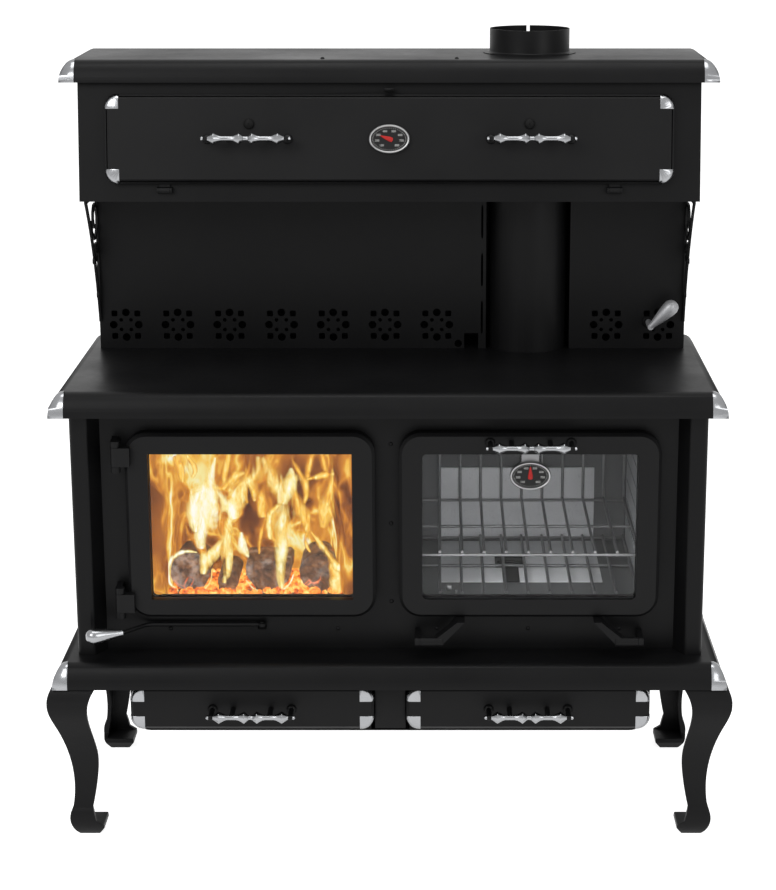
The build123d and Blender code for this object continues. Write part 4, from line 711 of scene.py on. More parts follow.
lever = {"pin": (-0.244, -0.1895, 0.412), "bend": (-0.463, -0.1895, 0.412), "tip": (-0.505, -0.2385, 0.412),
         "rod": 0.004, "corner": 0.025, "dropAlong": (-0.93, -0.36, 0), "dropOverlap": 0.001,
         "eye": [(-0.0039, 0), (-0.0039, 0.006), (-0.003, 0.0078), (0.003, 0.0078), (0.0039, 0.006), (0.0039, 0)]}


def buildLeverRod(bm):
    path = [lever["pin"], *roundCorner(lever["pin"], lever["bend"], lever["tip"], lever["corner"]), lever["tip"]]
    tube(bm, path, lever["rod"], 14)
    lathe(bm, lever["eye"], 24, aimed(lever["pin"], (0, 0, 1)))


def buildLeverDrop(bm):
    back = (Vector(lever["bend"]) - Vector(lever["tip"])).normalized() * lever["dropOverlap"]
    lathe(bm, dropStations, 32, aimed(Vector(lever["tip"]) + back, lever["dropAlong"]))


makePiece("airLeverRod", buildLeverRod, [castBlack], nodeBody["air_lever"], nodeSlot["air_lever"], "air_lever",
          smooth=40)
makePiece("airLeverDrop", buildLeverDrop, [chrome], nodeBody["air_lever"], nodeSlot["air_lever"], smooth=40)

damper = {"root": (0.511, 0.0955, 0.932), "along": (0.7071, 0, 0.7071), "shaft": 0.0058, "stub": 0.005, "rear": 0.1485,
          "bush": [(0.0, 0.0061), (0.0, 0.0125), (0.0018, 0.0118), (0.0036, 0.0098), (0.0036, 0.0061), (0.0, 0.0061)]}


def buildDamper(bm):
    x, y, z = damper["root"]
    lathe(bm, dropStations, 32, aimed(damper["root"], damper["along"]))
    tube(bm, [(x, y - damper["stub"], z), (x, y, z), (x, damper["rear"], z)], damper["shaft"], 20)


makePiece("flueDamperHandle", buildDamper, [nickel], nodeBody["flue_damper_handle"], "chrome", "flue_damper_handle",
          smooth=40)
print("levers made")

dial = {"half": (0.0385, 0.02725), "sides": 72, "numbers": range(1, 9), "numberSize": 0.0058, "numberDepth": 0.00015,
        "numberReach": (0.0235, 0.0152), "numberRise": 0.0062, "firstAngle": 232, "sweep": 284,
        "rim": [(0, 0), (0, 0.0078), (0.0005, 0.0092), (0.0014, 0.01), (0.0028, 0.01), (0.004, 0.0092),  # inset, rise
                (0.0045, 0.0078), (0.0046, 0.006)],
        "ticks": {"Count": 48, "Half Width": 0.0312, "Half Height": 0.0205, "Length": 0.0019, "Width": 0.0006,
                  "Depth": 0.0004},
        "tickRise": 0.0061}
needle = {"outline": [(-0.0042, -0.006), (-0.0046, 0.0), (-0.0012, 0.0165), (0, 0.0185), (0.0012, 0.0165),
                      (0.0046, 0.0), (0.0042, -0.006), (0, -0.0072)],
          "low": 0.0066, "high": 0.0078, "topShare": (0.8, 0.96),
          "hub": [(0.0045, 0), (0.0045, 0.0014), (0.0078, 0.0014), (0.0078, 0.0032), (0.0086, 0.0028), (0.009, 0)]}


def buildDialCase(bm):
    rings = []
    for inset, rise in dial["rim"]:
        a, b = dial["half"][0] - inset, dial["half"][1] - inset
        rings.append([bm.verts.new((a * c, b * s, rise)) for c, s in around(dial["sides"])])
    bridge(bm, rings)
    bm.faces.new(list(reversed(rings[0])))
    bm.faces.new(rings[-1])


def buildDialMarks(bm):
    for index, number in enumerate(dial["numbers"]):
        angle = math.radians(dial["firstAngle"] - index * dial["sweep"] / (len(dial["numbers"]) - 1))
        text = bpy.data.curves.new("dialNumber", "FONT")
        text.body, text.size, text.extrude = str(number * 100), dial["numberSize"], dial["numberDepth"]
        text.align_x = text.align_y = "CENTER"
        holder = linkObject("dialNumber", text)
        mesh = evaluatedMesh(holder)
        bpy.data.objects.remove(holder)
        reach = dial["numberReach"]
        spot = (reach[0] * math.cos(angle), reach[1] * math.sin(angle), dial["numberRise"])
        mesh.transform(Matrix.Translation(spot))
        bm.from_mesh(mesh)
    ticks = grow("ticks", bpy.data.meshes.new("none"), dialTicks, markWhite,
                 Matrix.Translation((0, 0, dial["tickRise"])), **dial["ticks"])
    bm.from_mesh(ticks.data)
    bpy.data.objects.remove(ticks)


dialPlaces = {"oven": (frameOn((0.264, -0.203, 0.71175), (1, 0, 0), forward), "oven_door", 0),
              "closet": (frameOn((0, -0.01501, 1.31551), (1, 0, 0), leanOut), "closet_drop_door", 70)}
for name, (matrix, body, angle) in dialPlaces.items():
    def buildNeedle(bm):
        low = [bm.verts.new((x, y, needle["low"])) for x, y in needle["outline"]]
        slim, short = needle["topShare"]
        high = [bm.verts.new((x * slim, y * short, needle["high"])) for x, y in needle["outline"]]
        bridge(bm, (low, high))
        bm.faces.new(list(reversed(low)))
        bm.faces.new(high)
        bmesh.ops.rotate(bm, verts=bm.verts, cent=(0, 0, 0), matrix=Matrix.Rotation(math.radians(angle), 3, "Z"))
        lathe(bm, needle["hub"], 20, aimed((0, 0, 0), (0, 0, 1), "Y"))

    case = makePiece(name + "Thermometer", buildDialCase, [dialRim, dialBlack], body, "dial_case",
                     name + "_thermometer", matrix=matrix, smooth=40)
    out = matrix.to_3x3() @ Vector((0, 0, 1))
    for face in sorted(case.data.polygons, key=lambda face: -face.area)[:2]:
        if face.normal.dot(out) > 0.9:
            face.material_index = 1
    makePiece(name + "DialMarks", buildDialMarks, [markWhite], body, "dial_case", matrix=matrix, merge=False)
    makePiece(name + "Needle", buildNeedle, [pointerRed], nodeBody[name + "_thermometer_pointer"], "pointer_red",
              name + "_thermometer_pointer", matrix=matrix, smooth=30)


def buildBoxes(*boxes):
    def build(bm):
        for low, high in boxes:
            box(bm, low, high)
    return build


strap = {"low": (0.2475, -0.203, 0.71175), "high": (0.2805, -0.2, 0.753)}
makePiece("ovenDialStrap", buildBoxes((strap["low"], strap["high"])), [bareSteel], "oven_door", "dial_case",
          shape=softEdge(0.0006))
print("thermometers made")

filler = {"low": (-0.0295, -0.2098, 0.2075), "high": (0.0295, -0.1985, 0.2948)}
makePiece("drawerFiller", buildBoxes((filler["low"], filler["high"])), [doorBlack], "stove",
          nodeSlot["drawer_housing"], shape=softEdge(0.0015), smooth=35)

stud = {"x": 0.264, "y": 0.0068, "z": 1.3124, "rise": 0.028, "out": 0.0222,
        "stations": [(0, 0.0098), (0.004, 0.0098), (0.0062, 0.008428), (0.0078, 0.0049), (0.0082, 0.0008)]}
for side in (-1, 1):
    face = frameOn((side * stud["x"], stud["y"], stud["z"]), (1, 0, 0), leanOut)
    spot = face @ Matrix.Translation((0, stud["rise"], stud["out"])) @ alongZ
    makePiece("closetStud", lambda bm: lathe(bm, stud["stations"], 28), [innerBlack], "closet_drop_door",
              nodeSlot["closet_door"], matrix=spot, smooth=40)

splash = {"front": 0.1455, "back": 0.2765, "low": 0.878, "high": 1.196, "sheet": 0.003, "cornerRound": 0.22,
          "rosetteHeight": 0.926, "petal": 0.0078, "petalOut": 0.025, "corner": 0.012, "cornerOut": 0.0228,
          "seed": 0.0038, "seedOut": 0.0098, "slot": (0.004, 0.066, 1.0), "damperHole": (0.511, 0.932, 0.0061),
          "damperClear": 0.014}
splashPanels = {
    "splash_left": {"low": -0.583, "high": 0.187, "rosettes": [-0.5305 + 0.1033 * i for i in range(7)],
                    "notch": (0.144, 0.172, 0.909), "slots": [(0.179, 1.037 + 0.096 * i) for i in (-1, 0, 1)],
                    "round": (0.132, 0.888, 0.0074)},
    "splash_right": {"low": 0.353, "high": 0.583, "rosettes": [0.4272, 0.5305], "notch": None, "slots": [],
                     "round": splash["damperHole"]}}


def rosetteHoles(centre):
    # four round petals, then a square corner hole and a small seed hole in each quarter
    holes = [(splash["petalOut"] * dx, splash["petalOut"] * dz, 1.0, splash["petal"]) for dx, dz in around(4)]
    for sx in (-1, 1):
        for sz in (-1, 1):
            holes.append((sx * splash["cornerOut"], sz * splash["cornerOut"], 2.0, splash["corner"]))
            holes.append((sx * splash["seedOut"], sz * splash["seedOut"], 1.0, splash["seed"]))
    placed = [((centre + dx, splash["rosetteHeight"] + dz, 0.0), kind, (size,) * 3) for dx, dz, kind, size in holes]
    # the damper's hole replaces the small holes it would run into
    return [hole for hole in placed if math.dist(hole[0][:2], splash["damperHole"][:2]) > splash["damperClear"]]


def piercedMesh(name, panel):
    # outline as edges, and one loose point for each hole: kind 1 is round, kind 2 squarish
    left, right, low, high = panel["low"], panel["high"], splash["low"], splash["high"]
    outline = [(left, low)]
    if panel["notch"]:
        start, finish, top = panel["notch"]
        outline += [(start, low), (start, top), (finish, top), (finish, low)]
    outline += [(right, low), (right, high), (left, high)]
    marks = [((x, z, 0.0), 0.0, (1.0, 1.0, 1.0)) for x, z in outline]
    for centre in panel["rosettes"]:
        marks += rosetteHoles(centre)
    marks += [((x, z, 0.0), 2.0, splash["slot"]) for x, z in panel["slots"]]
    x, z, radius = panel["round"]
    marks.append(((x, z, 0.0), 1.0, (radius,) * 3))
    rows, kinds, sizes = zip(*marks)
    return plainMesh(name, rows, [(i, (i + 1) % len(outline)) for i in range(len(outline))], kind=kinds, size=sizes)


upright = Matrix.Translation((0, splash["front"], 0)) @ Matrix.Rotation(math.radians(90), 4, "X")
for node, panel in splashPanels.items():
    sheet = grow(camelName(node), piercedMesh(camelName(node), panel), piercedSheet, satinBlack, upright,
                 Thickness=splash["sheet"], Corner=splash["cornerRound"])
    bm = bmesh.new()
    bm.from_mesh(sheet.data)
    for start in (panel["low"], panel["high"] - splash["sheet"]):  # the returns at both ends
        box(bm, (start, splash["front"] + splash["sheet"], splash["low"]),
            (start + splash["sheet"], splash["back"], splash["high"]))
    bm.to_mesh(sheet.data)
    bm.free()
    smoothByAngle(sheet.data, 35)
    sheet.data.polygons.foreach_set("material_index", [0] * len(sheet.data.polygons))
    setMaterials(sheet, satinBlack)
    place(sheet, nodeBody[node], nodeSlot[node], node)
bushSpot = (splash["damperHole"][0], splash["front"], splash["damperHole"][1])
makePiece("damperBush", lambda bm: lathe(bm, damper["bush"], 32, aimed(bushSpot, forward)), [castBlack], "stove",
          nodeSlot["splash_right"], smooth=40)
print("backsplash made")

oven = {"left": 0.046, "right": 0.482, "front": -0.1725, "back": 0.2155, "floor": 0.4545, "wire": 0.003,
        "racks": (0.4625, 0.544), "wires": 11, "bars": (0, 0.5, 1), "lift": 0.0052, "guardTop": 0.752,
        "rackGap": {"side": 0.004, "front": 0.006, "back": 0.008}}


def rackLines():
    gap = oven["rackGap"]
    left, right = oven["left"] + gap["side"], oven["right"] - gap["side"]
    front, back = oven["front"] + gap["front"], oven["back"] - gap["back"]
    first, last = left + oven["wire"], right - oven["wire"]
    spread = [first + (last - first) * index / (oven["wires"] - 1) for index in range(oven["wires"])]
    rows = []
    for level in oven["racks"]:
        for share in oven["bars"]:
            y = front + share * (back - front)
            rows += [(left, y, level), (right, y, level)]
        for x in spread:
            rows += [(x, front, level + oven["lift"]), (x, back, level + oven["lift"])]
    for x in spread:  # guard behind the racks, its wires in line with theirs
        rows += [(x, back, oven["racks"][1] + oven["lift"]), (x, back, oven["guardTop"])]
    return rows, [(i, i + 1) for i in range(0, len(rows), 2)]


racks = grow("ovenRacks", plainMesh("ovenRacks", *rackLines()), roundWires, rackSteel, smooth=50, Radius=oven["wire"])
place(racks, "stove", nodeSlot["oven_racks"], "oven_racks")


def ovenPiece(name, build, material, **look):
    makePiece(name, build, [material], "stove", nodeSlot["oven_box"], **look)


# the panel on the back wall, and the plate on the floor as wide as it; their light enamel tone is painted light
ovenPanel = {"left": 0.0945, "right": 0.414, "low": 0.458, "high": 0.6127, "frontGap": 0.006, "backGap": 0.001,
             "floorFront": -0.065, "floorBack": 0.2055, "floorLow": 0.0004, "floorHigh": 0.0024}
ovenPiece("ovenBackPanel", buildBoxes(
    ((ovenPanel["left"], oven["back"] - ovenPanel["frontGap"], ovenPanel["low"]),
     (ovenPanel["right"], oven["back"] - ovenPanel["backGap"], ovenPanel["high"])),
    ((ovenPanel["left"], ovenPanel["floorFront"], oven["floor"] + ovenPanel["floorLow"]),
     (ovenPanel["right"], ovenPanel["floorBack"], oven["floor"] + ovenPanel["floorHigh"]))), panelGrey,
    shape=softEdge(0.0015, 3), smooth=40)

ladder = {"inset": 0.0006, "plate": 0.0012, "frontGap": 0.01, "backGap": 0.004, "low": 0.003, "top": 0.762,
          "rails": 6, "firstRail": 0.052, "railPitch": 0.0415, "railOut": 0.0016, "railTall": 0.004, "railGap": 0.02}


def buildOvenSides(bm):
    # ladder plates at both sides, with pressed rails that the racks slide on
    front, back, floorHeight = oven["front"], oven["back"], oven["floor"]
    for side, x in ((1, oven["left"] + ladder["inset"]), (-1, oven["right"] - ladder["inset"])):
        inner = x + side * ladder["plate"]
        rail = inner + side * ladder["railOut"]
        box(bm, (min(x, inner), front + ladder["frontGap"], floorHeight + ladder["low"]),
            (max(x, inner), back - ladder["backGap"], ladder["top"]))
        for step in range(ladder["rails"]):
            z = floorHeight + ladder["firstRail"] + step * ladder["railPitch"]
            box(bm, (min(inner, rail), front + ladder["railGap"], z),
                (max(inner, rail), back - ladder["railGap"], z + ladder["railTall"]))


# the side ladders' lighter enamel tone is painted light
ovenPiece("ovenSideLadders", buildOvenSides, litLadderGrey)

# clean-out cover on the floor: a strap with a wider ribbed end
spreader = {"low": 0.0024, "high": 0.0042, "strap": ((0.219, -0.07), (0.252, 0.024)),
            "end": ((0.206, 0.0235), (0.266, 0.094)), "endThicker": 0.0006,
            "ribs": (0.034, 0.052, 0.07), "ribRun": (0.211, 0.261), "ribWide": 0.006, "ribTall": 0.0024}
low, high = oven["floor"] + spreader["low"], oven["floor"] + spreader["high"]
ovenPiece("ovenSpreader", buildBoxes(
    ((*spreader["strap"][0], low), (*spreader["strap"][1], high)),
    ((*spreader["end"][0], low), (*spreader["end"][1], high + spreader["endThicker"])),
    *(((spreader["ribRun"][0], y, high), (spreader["ribRun"][1], y + spreader["ribWide"], high + spreader["ribTall"]))
      for y in spreader["ribs"])), innerBlack, shape=softEdge(0.0012))

clip = {"foot": ((0.092, -0.158, 0.0004), (0.134, -0.142, 0.0022)), "prongs": (0.0975, 0.1245), "prongWide": 0.004,
        "prongRun": (-0.152, -0.148), "prongRise": (0.002, 0.015), "bulbSpot": (0.113, -0.15), "bulbRise": 0.012,
        "bulb": [(0, 0.0006), (0.001, 0.0045), (0.004, 0.0072), (0.008, 0.0078), (0.012, 0.006), (0.0145, 0.0006)]}


def buildClip(bm):
    # bulb clip at the floor's front left corner
    lift = Vector((0, 0, oven["floor"]))
    box(bm, *(lift + Vector(corner) for corner in clip["foot"]))
    low, high = (oven["floor"] + rise for rise in clip["prongRise"])
    for x in clip["prongs"]:
        box(bm, (x, clip["prongRun"][0], low), (x + clip["prongWide"], clip["prongRun"][1], high))
    spot = Matrix.Translation((*clip["bulbSpot"], oven["floor"] + clip["bulbRise"]))
    lathe(bm, clip["bulb"], 24, spot @ alongZ)


ovenPiece("ovenClip", buildClip, rackSteel, smooth=40)
print("oven made")

logs = [  # centre x, centre z, radius, split
    (-0.3838, 0.5018, 0.0395, False), (-0.3116, 0.4828, 0.0208, False),
    (-0.2334, 0.5078, 0.0455, True), (-0.1362, 0.5018, 0.0395, False)]
logRun = (-0.1425, 0.137)  # front and rear end of each of them
crossLogs = [(0.0591, 0.5733, 0.0305), (-0.0416, 0.5683, 0.0255)]  # y, z, radius
crossRun = (-0.4, -0.12)
logShape = {"sides": 40, "runs": 26, "flat": 0.36, "flatFrom": 0.35, "flatBark": 0.4, "girth": 0.955,
            "squeeze": (1.6, 4.0, 1.6), "bark": ((3.2, 0.05), (9.0, 0.035)), "seedStep": (3.7, 1.9, 2.3),
            "ends": ((0.86, -0.0012), (0.6, 0.0012), (0.3, 0.002))}  # share of the radius, and how far out


def buildLog(bm, matrix, run, radius, split, seed):
    # along +Y from the origin, with ridged bark and slightly hollow ends
    offset = Vector([seed * step for step in logShape["seedStep"]])
    wide, long, high = logShape["squeeze"]
    rings = []
    for step in range(logShape["runs"] + 1):
        y = (run[1] - run[0]) * step / logShape["runs"]
        ring = []
        for x, z in around(logShape["sides"]):
            z = min(z, logShape["flat"]) if split else z
            spot = Vector((x * wide, y * long, z * high)) + offset
            bark = sum(noise.noise(spot * size) * depth for size, depth in logShape["bark"])
            if split and z >= logShape["flatFrom"]:
                bark *= logShape["flatBark"]
            swell = radius * (logShape["girth"] + bark)
            ring.append(Vector((x * swell, y, z * swell)))
        rings.append(ring)
    made = [[bm.verts.new(matrix @ spot) for spot in ring] for ring in rings]
    bridge(bm, made)
    for edge, ring, side in ((made[0], rings[0], 1), (made[-1], rings[-1], -1)):
        circles = [edge]
        for share, sink in logShape["ends"]:
            circles.append([bm.verts.new(matrix @ Vector((v.x * share, v.y + side * sink, v.z * share)))
                            for v in ring])
        before = len(bm.faces)
        bridge(bm, circles)
        bm.faces.new(circles[-1])
        bm.faces.ensure_lookup_table()
        for face in bm.faces[before:]:
            face.material_index = 1


def buildLogs(bm):
    for index, (x, z, radius, split) in enumerate(logs):
        buildLog(bm, Matrix.Translation((x, logRun[0], z)), logRun, radius, split, index + 1)
    for index, (y, z, radius) in enumerate(crossLogs):
        turn = Matrix.Translation((crossRun[0], y, z)) @ Matrix.Rotation(math.radians(-90), 4, "Z")
        buildLog(bm, turn, crossRun, radius, False, index + 9)
    bmesh.ops.recalc_face_normals(bm, faces=bm.faces)


makePiece("burningLogs", buildLogs, [barkWood, cutWood], "stove", "logs", "firewood", merge=False, smooth=50)

hearth = {"outer": (-0.447, -0.073), "inner": (-0.429, -0.091), "foot": (-0.1695, 0.457), "edge": (-0.162, 0.4658),
          "rear": 0.1, "coals": {"Density": 9000.0, "Smallest": 0.0045, "Largest": 0.0095, "Seed": 11}}
corners = [(x, *hearth["foot"]) for x in hearth["outer"]] + [(x, *hearth["edge"]) for x in hearth["outer"][::-1]]
corners += [(x, hearth["rear"], hearth["edge"][1]) for x in hearth["inner"][::-1]]
bed = plainMesh("emberBed", corners, faces=[(0, 1, 2, 3), (3, 2, 4, 5)])
place(grow("emberBed", bed, coalBed, emberGlow, smooth=60, **hearth["coals"]), "stove", "logs")
print("logs and embers made")

curtain = {"low": 0.463, "high": 0.757, "left": -0.456, "right": -0.066, "edgeY": -0.1765, "lowY": -0.02,
           "highY": -0.118, "leanRate": 1.5, "lip": 0.0195, "wing": 0.04, "columns": 60, "rows": 40}


def buildCurtain(bm):
    # the blaze leans forward over the logs and comes to the front at both sides
    grid = []
    for row in range(curtain["rows"] + 1):
        rise = row / curtain["rows"]
        middle = curtain["lowY"] + (curtain["highY"] - curtain["lowY"]) * min(1.0, rise * curtain["leanRate"])
        line = []
        for column in range(curtain["columns"] + 1):
            x = curtain["left"] + (curtain["right"] - curtain["left"]) * column / curtain["columns"]
            inside = min(x - curtain["left"], curtain["right"] - x) - curtain["lip"]
            reach = max(0.0, min(1.0, inside / curtain["wing"]))
            y = curtain["edgeY"] + (middle - curtain["edgeY"]) * reach * reach * (3 - 2 * reach)
            line.append(bm.verts.new((x, y, curtain["low"] + (curtain["high"] - curtain["low"]) * rise)))
        grid.append(line)
    for first, second in zip(grid, grid[1:]):
        for i in range(curtain["columns"]):
            bm.faces.new((first[i], first[i + 1], second[i + 1], second[i]))


makePiece("blazeCurtain", buildCurtain, [glowingWall], "stove", "logs", merge=False, smooth=60,
          shape=("SOLIDIFY", {"thickness": 0.002, "offset": -1}))

# each tongue: how hot, how far back, and its line of (x, z, width) from root to tip
tongues = [
    (1.0, -0.146, [(-0.36, 0.55, 0.01), (-0.36, 0.585, 0.022), (-0.35, 0.625, 0.046), (-0.342, 0.66, 0.04),
                   (-0.338, 0.69, 0.013), (-0.33, 0.73, 0.005)]),
    (0.95, -0.15, [(-0.37, 0.585, 0.008), (-0.372, 0.62, 0.018), (-0.37, 0.645, 0.018), (-0.36, 0.665, 0.006)]),
    (0.75, -0.141, [(-0.3, 0.615, 0.01), (-0.29, 0.645, 0.025), (-0.275, 0.675, 0.022), (-0.252, 0.695, 0.022),
                    (-0.25, 0.73, 0.014)]),
    (0.95, -0.148, [(-0.295, 0.61, 0.01), (-0.303, 0.63, 0.018), (-0.318, 0.65, 0.014), (-0.332, 0.67, 0.004)]),
    (0.7, -0.143, [(-0.206, 0.64, 0.01), (-0.213, 0.67, 0.022), (-0.225, 0.695, 0.022), (-0.24, 0.73, 0.018)]),
    (0.85, -0.149, [(-0.203, 0.64, 0.01), (-0.192, 0.67, 0.018), (-0.185, 0.69, 0.018), (-0.188, 0.71, 0.007)]),
    (0.8, -0.146, [(-0.208, 0.47, 0.006), (-0.21, 0.51, 0.014), (-0.206, 0.555, 0.018), (-0.205, 0.625, 0.032),
                   (-0.206, 0.645, 0.007)]),
    (0.7, -0.151, [(-0.228, 0.57, 0.004), (-0.23, 0.6, 0.009), (-0.224, 0.625, 0.009), (-0.206, 0.64, 0.006)]),
    (0.45, -0.138, [(-0.152, 0.58, 0.007), (-0.167, 0.617, 0.016), (-0.18, 0.655, 0.016), (-0.188, 0.69, 0.007)]),
    (0.4, -0.141, [(-0.127, 0.59, 0.01), (-0.12, 0.625, 0.022), (-0.116, 0.66, 0.016), (-0.102, 0.7, 0.018),
                   (-0.102, 0.73, 0.018)]),
    (0.6, -0.152, [(-0.082, 0.508, 0.004), (-0.102, 0.517, 0.011), (-0.125, 0.552, 0.009), (-0.15, 0.585, 0.004)]),
    (0.75, -0.143, [(-0.318, 0.48, 0.006), (-0.312, 0.517, 0.011), (-0.314, 0.563, 0.014), (-0.31, 0.595, 0.014),
                    (-0.3, 0.617, 0.01)]),
    (0.95, -0.153, [(-0.284, 0.585, 0.004), (-0.28, 0.552, 0.013), (-0.27, 0.535, 0.004)]),
    (0.4, -0.137, [(-0.393, 0.68, 0.007), (-0.4, 0.71, 0.022), (-0.408, 0.731, 0.018)]),
    (0.4, -0.139, [(-0.454, 0.655, 0.007), (-0.444, 0.685, 0.022), (-0.44, 0.72, 0.022), (-0.444, 0.731, 0.014)]),
    (0.75, -0.149, [(-0.357, 0.5, 0.007), (-0.352, 0.53, 0.018), (-0.332, 0.548, 0.014), (-0.318, 0.57, 0.007)]),
    (0.45, -0.15, [(-0.102, 0.455, 0.022), (-0.104, 0.498, 0.016), (-0.12, 0.53, 0.007)]),
    (0.5, -0.147, [(-0.156, 0.688, 0.004), (-0.127, 0.695, 0.009), (-0.098, 0.7, 0.006)]),
    (0.3, -0.136, [(-0.242, 0.61, 0.01), (-0.246, 0.647, 0.022), (-0.237, 0.678, 0.007)]),
    (0.5, -0.144, [(-0.347, 0.675, 0.005), (-0.318, 0.67, 0.01), (-0.296, 0.69, 0.016), (-0.275, 0.7, 0.007)])]
rims = [  # bright outlines round the ends of two logs: centre, reach, angles, width, heat
    ((-0.384, 0.502), 0.0435, (238, 210, 182, 154, 126, 98, 70), 0.013, 1.0),
    ((-0.384, 0.502), 0.0425, (250, 280, 310, 340, 10), 0.006, 0.8),
    ((-0.233, 0.508), 0.0485, (205, 235, 265, 295, 325, 350), 0.008, 1.0)]
flame = {"spread": 1.9, "thinnest": 0.002, "thick": 0.12, "thickest": 0.003, "flatRun": 0.2, "rimY": -0.1475,
         "rimEase": (0.08, 0.84)}
# small wisps that fill the blaze; one number is drawn from each range, in this order
wispRanges = {"x": (-0.435, -0.09), "z": (0.5, 0.69), "tall": (0.05, 0.11), "lean": (-0.25, 0.25),
              "wide": (0.012, 0.026), "bend": (-0.012, 0.012), "depth": (-0.135, -0.122), "heat": (0.12, 0.45)}
wisps = {"count": 13, "seed": 23, "steps": 12, "sway": 5.0, "ease": (0.12, 0.8), "top": 0.75}


def flameStrip(bm, line, heat, sides=10, tipped=True):
    # closed lens-shaped ribbon along a line of (x, y, z, width)
    uvLayer = bm.loops.layers.uv["flameRun"]
    heatLayer = bm.verts.layers.float["tongueHeat"]
    last = len(line) - 1
    spots, rings = {}, []
    for index, (x, y, z, width) in enumerate(line):
        ahead, behind = line[min(index + 1, last)], line[max(index - 1, 0)]
        along = Vector((ahead[0] - behind[0], 0, ahead[2] - behind[2])).normalized()
        across = Vector((along.z, 0, -along.x)) * 0.5 * width
        depth = Vector((0, min(flame["thick"] * width, flame["thickest"]), 0))
        ring = [bm.verts.new(Vector((x, y, z)) + across * c + depth * s) for c, s in around(sides)]
        for vert, (c, s) in zip(ring, around(sides)):
            vert[heatLayer] = heat
            spots[vert] = (0.5 + 0.5 * c, index / last if tipped else flame["flatRun"])
        rings.append(ring)
    before = len(bm.faces)
    bridge(bm, rings)
    bm.faces.ensure_lookup_table()
    for face in bm.faces[before:]:
        for loop in face.loops:
            loop[uvLayer].uv = spots[loop.vert]
    for ring in (rings[0], rings[-1]):
        for loop in bm.faces.new(ring).loops:
            loop[uvLayer].uv = (0.0, spots[loop.vert][1])


def buildFlames(bm):
    bm.loops.layers.uv.new("flameRun")
    bm.verts.layers.float.new("tongueHeat")
    for heat, depth, line in tongues:
        widened = [(x, depth, z, max(width, flame["thinnest"]) * flame["spread"]) for x, z, width in eased(line, 6)]
        flameStrip(bm, widened, heat)
    for (x, z), reach, angles, width, heat in rims:
        turns = [math.radians(angle) for angle in angles]
        arc = eased([(x + reach * math.cos(a), flame["rimY"], z + reach * math.sin(a)) for a in turns], 6)
        start, run = flame["rimEase"]
        swell = [width * math.sin(math.pi * (start + run * i / (len(arc) - 1))) for i in range(len(arc))]
        flameStrip(bm, [(*spot, max(flame["thinnest"], wide)) for spot, wide in zip(arc, swell)], heat, tipped=False)
    draw = random.Random(wisps["seed"])
    start, run = wisps["ease"]
    for _ in range(wisps["count"]):
        x, z, tall, lean, wide, bend, depth, heat = (draw.uniform(*span) for span in wispRanges.values())
        line = [(x + lean * tall * t + bend * math.sin(t * wisps["sway"]), depth, min(z + tall * t, wisps["top"]),
                 wide * math.sin(math.pi * (start + run * t)))
                for t in (step / wisps["steps"] for step in range(wisps["steps"] + 1))]
        flameStrip(bm, line, heat, sides=8)
    bmesh.ops.recalc_face_normals(bm, faces=bm.faces)


makePiece("flameTongues", buildFlames, [flameTongue], "stove", "logs", merge=False, smooth=80)
print("flames made")

rearRow = [-0.54 + 0.12 * i for i in range(10)]
boltSets = {  # material, radius, dome, and where each head sits and points
    "coverBolts": (castBlack, 0.0042, 0.0032, [((x, 0.046, 1.46), (0, 0, 1)) for x in (-0.127, 0.127)]),
    "plateScrews": (castBlack, 0.0042, 0.0024,
                    [((x, -0.1785, 0.4), forward) for x in (-0.42, -0.1, 0.09, 0.264, 0.438)]
                    + [((0.003, -0.1785, z), forward) for z in (0.455, 0.61, 0.765)]),
    "rearScrews": (bareSteel, 0.0045, 0.0026, [((x, y, z), (0, 1, 0)) for x in rearRow for y, z in (
        (0.2575, 0.372), (0.2575, 0.858), (0.2795, 0.89), (0.2795, 1.184))]),
    "sideScrews": (castBlack, 0.0045, 0.0026,
                   [((side * 0.594, y, z), (side, 0, 0)) for side in (-1, 1) for y in (-0.17, 0.03, 0.235)
                    for z in (0.385, 0.85)]),
    "hingeScrews": (castBlack, 0.0032, 0.002,
                    [((-0.511, -0.1815, z), forward) for z in (0.4385, 0.4895, 0.7245, 0.7755)]),
    "splashScrews": (castBlack, 0.0036, 0.0022, [((x, splash["front"], 1.184), forward) for x in (
        -0.565, -0.44, -0.32, -0.2, -0.08, 0.04, 0.16, 0.37, 0.566)])}
for name, (material, radius, dome, heads) in boltSets.items():
    points = plainMesh(name, [spot for spot, aim in heads], aim=[aim for spot, aim in heads])
    place(grow(name, points, boltHeads, material, smooth=60, Radius=radius, Dome=dome), "stove",
          "black_cast" if material is castBlack else "bare_steel")
print("bolts made")

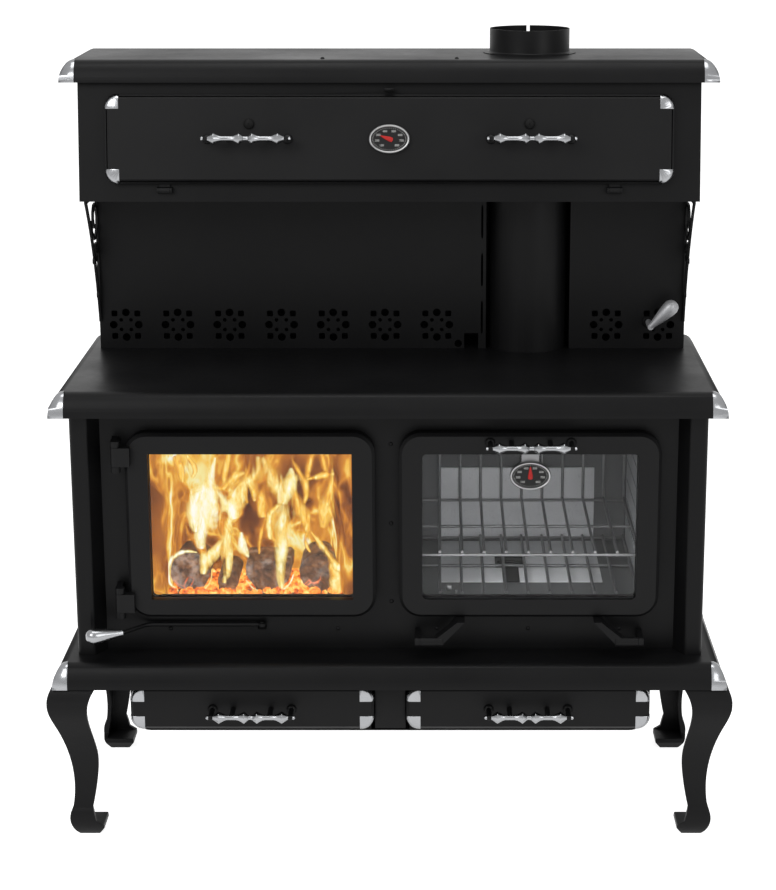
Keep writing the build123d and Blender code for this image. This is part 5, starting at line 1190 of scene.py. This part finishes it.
view = {"place": (0.0896, -4.2235, 1.832), "tilt": 75.2, "lens": 90.3, "sensor": 36, "shift": -0.055}
camera = linkObject("camera", bpy.data.cameras.new("camera"))
camera.location = view["place"]
camera.rotation_euler = (math.radians(view["tilt"]), 0, 0)
camera.data.lens, camera.data.sensor_width, camera.data.shift_x = view["lens"], view["sensor"], view["shift"]
bpy.context.scene.camera = camera

studio = {"floor": 30.0, "floorGlow": 0.85, "worldLight": 0.5,
          "lamps": {"keyLamp": ((-2.4, -3.4, 3.2), (2.4, 1.8), 90), "fillLamp": ((2.8, -3.2, 2.2), (2.0, 2.0), 45),
                    "topLamp": ((0.0, -0.6, 4.2), (3.0, 1.6), 60)}}


def floorMaterial():
    shade = newMaterial("studioFloor")
    glow = shade.add("Emission", {"Strength": shade.times(shade.seen(), studio["floorGlow"])})
    shade.feed(shade.out, {"Surface": shade.add("AddShader", {0: shade.surface.outputs[0], 1: glow})})
    return shade.finish({"Base Color": (0.8, 0.8, 0.8), "Roughness": 0.9})


half = studio["floor"]
corners = [(-half, -half, 0), (half, -half, 0), (half, half, 0), (-half, half, 0)]
floor = linkObject("studioFloor", plainMesh("studioFloor", corners, faces=[(0, 1, 2, 3)]))
setMaterials(floor, floorMaterial())

world = bpy.data.worlds.new("studioWorld")
world.use_nodes = True
world.node_tree.nodes.clear()
sky = Shade(world.node_tree)
level = sky.plus(sky.times(sky.seen(), 1.0 - studio["worldLight"]), studio["worldLight"])
sky.put("OutputWorld", {"Surface": sky.add("Background", {"Color": (1, 1, 1), "Strength": level})})
bpy.context.scene.world = world

for name, (spot, size, power) in studio["lamps"].items():
    lamp = bpy.data.lights.new(name, "AREA")
    lamp.shape, lamp.energy = "RECTANGLE", power
    lamp.size, lamp.size_y = size
    holder = linkObject(name, lamp)
    holder.location = spot
    holder.rotation_euler = (Vector((0, 0, 0.8)) - Vector(spot)).to_track_quat("-Z", "Y").to_euler()

bpy.context.scene.view_settings.view_transform = "Standard"
print("scene ready")
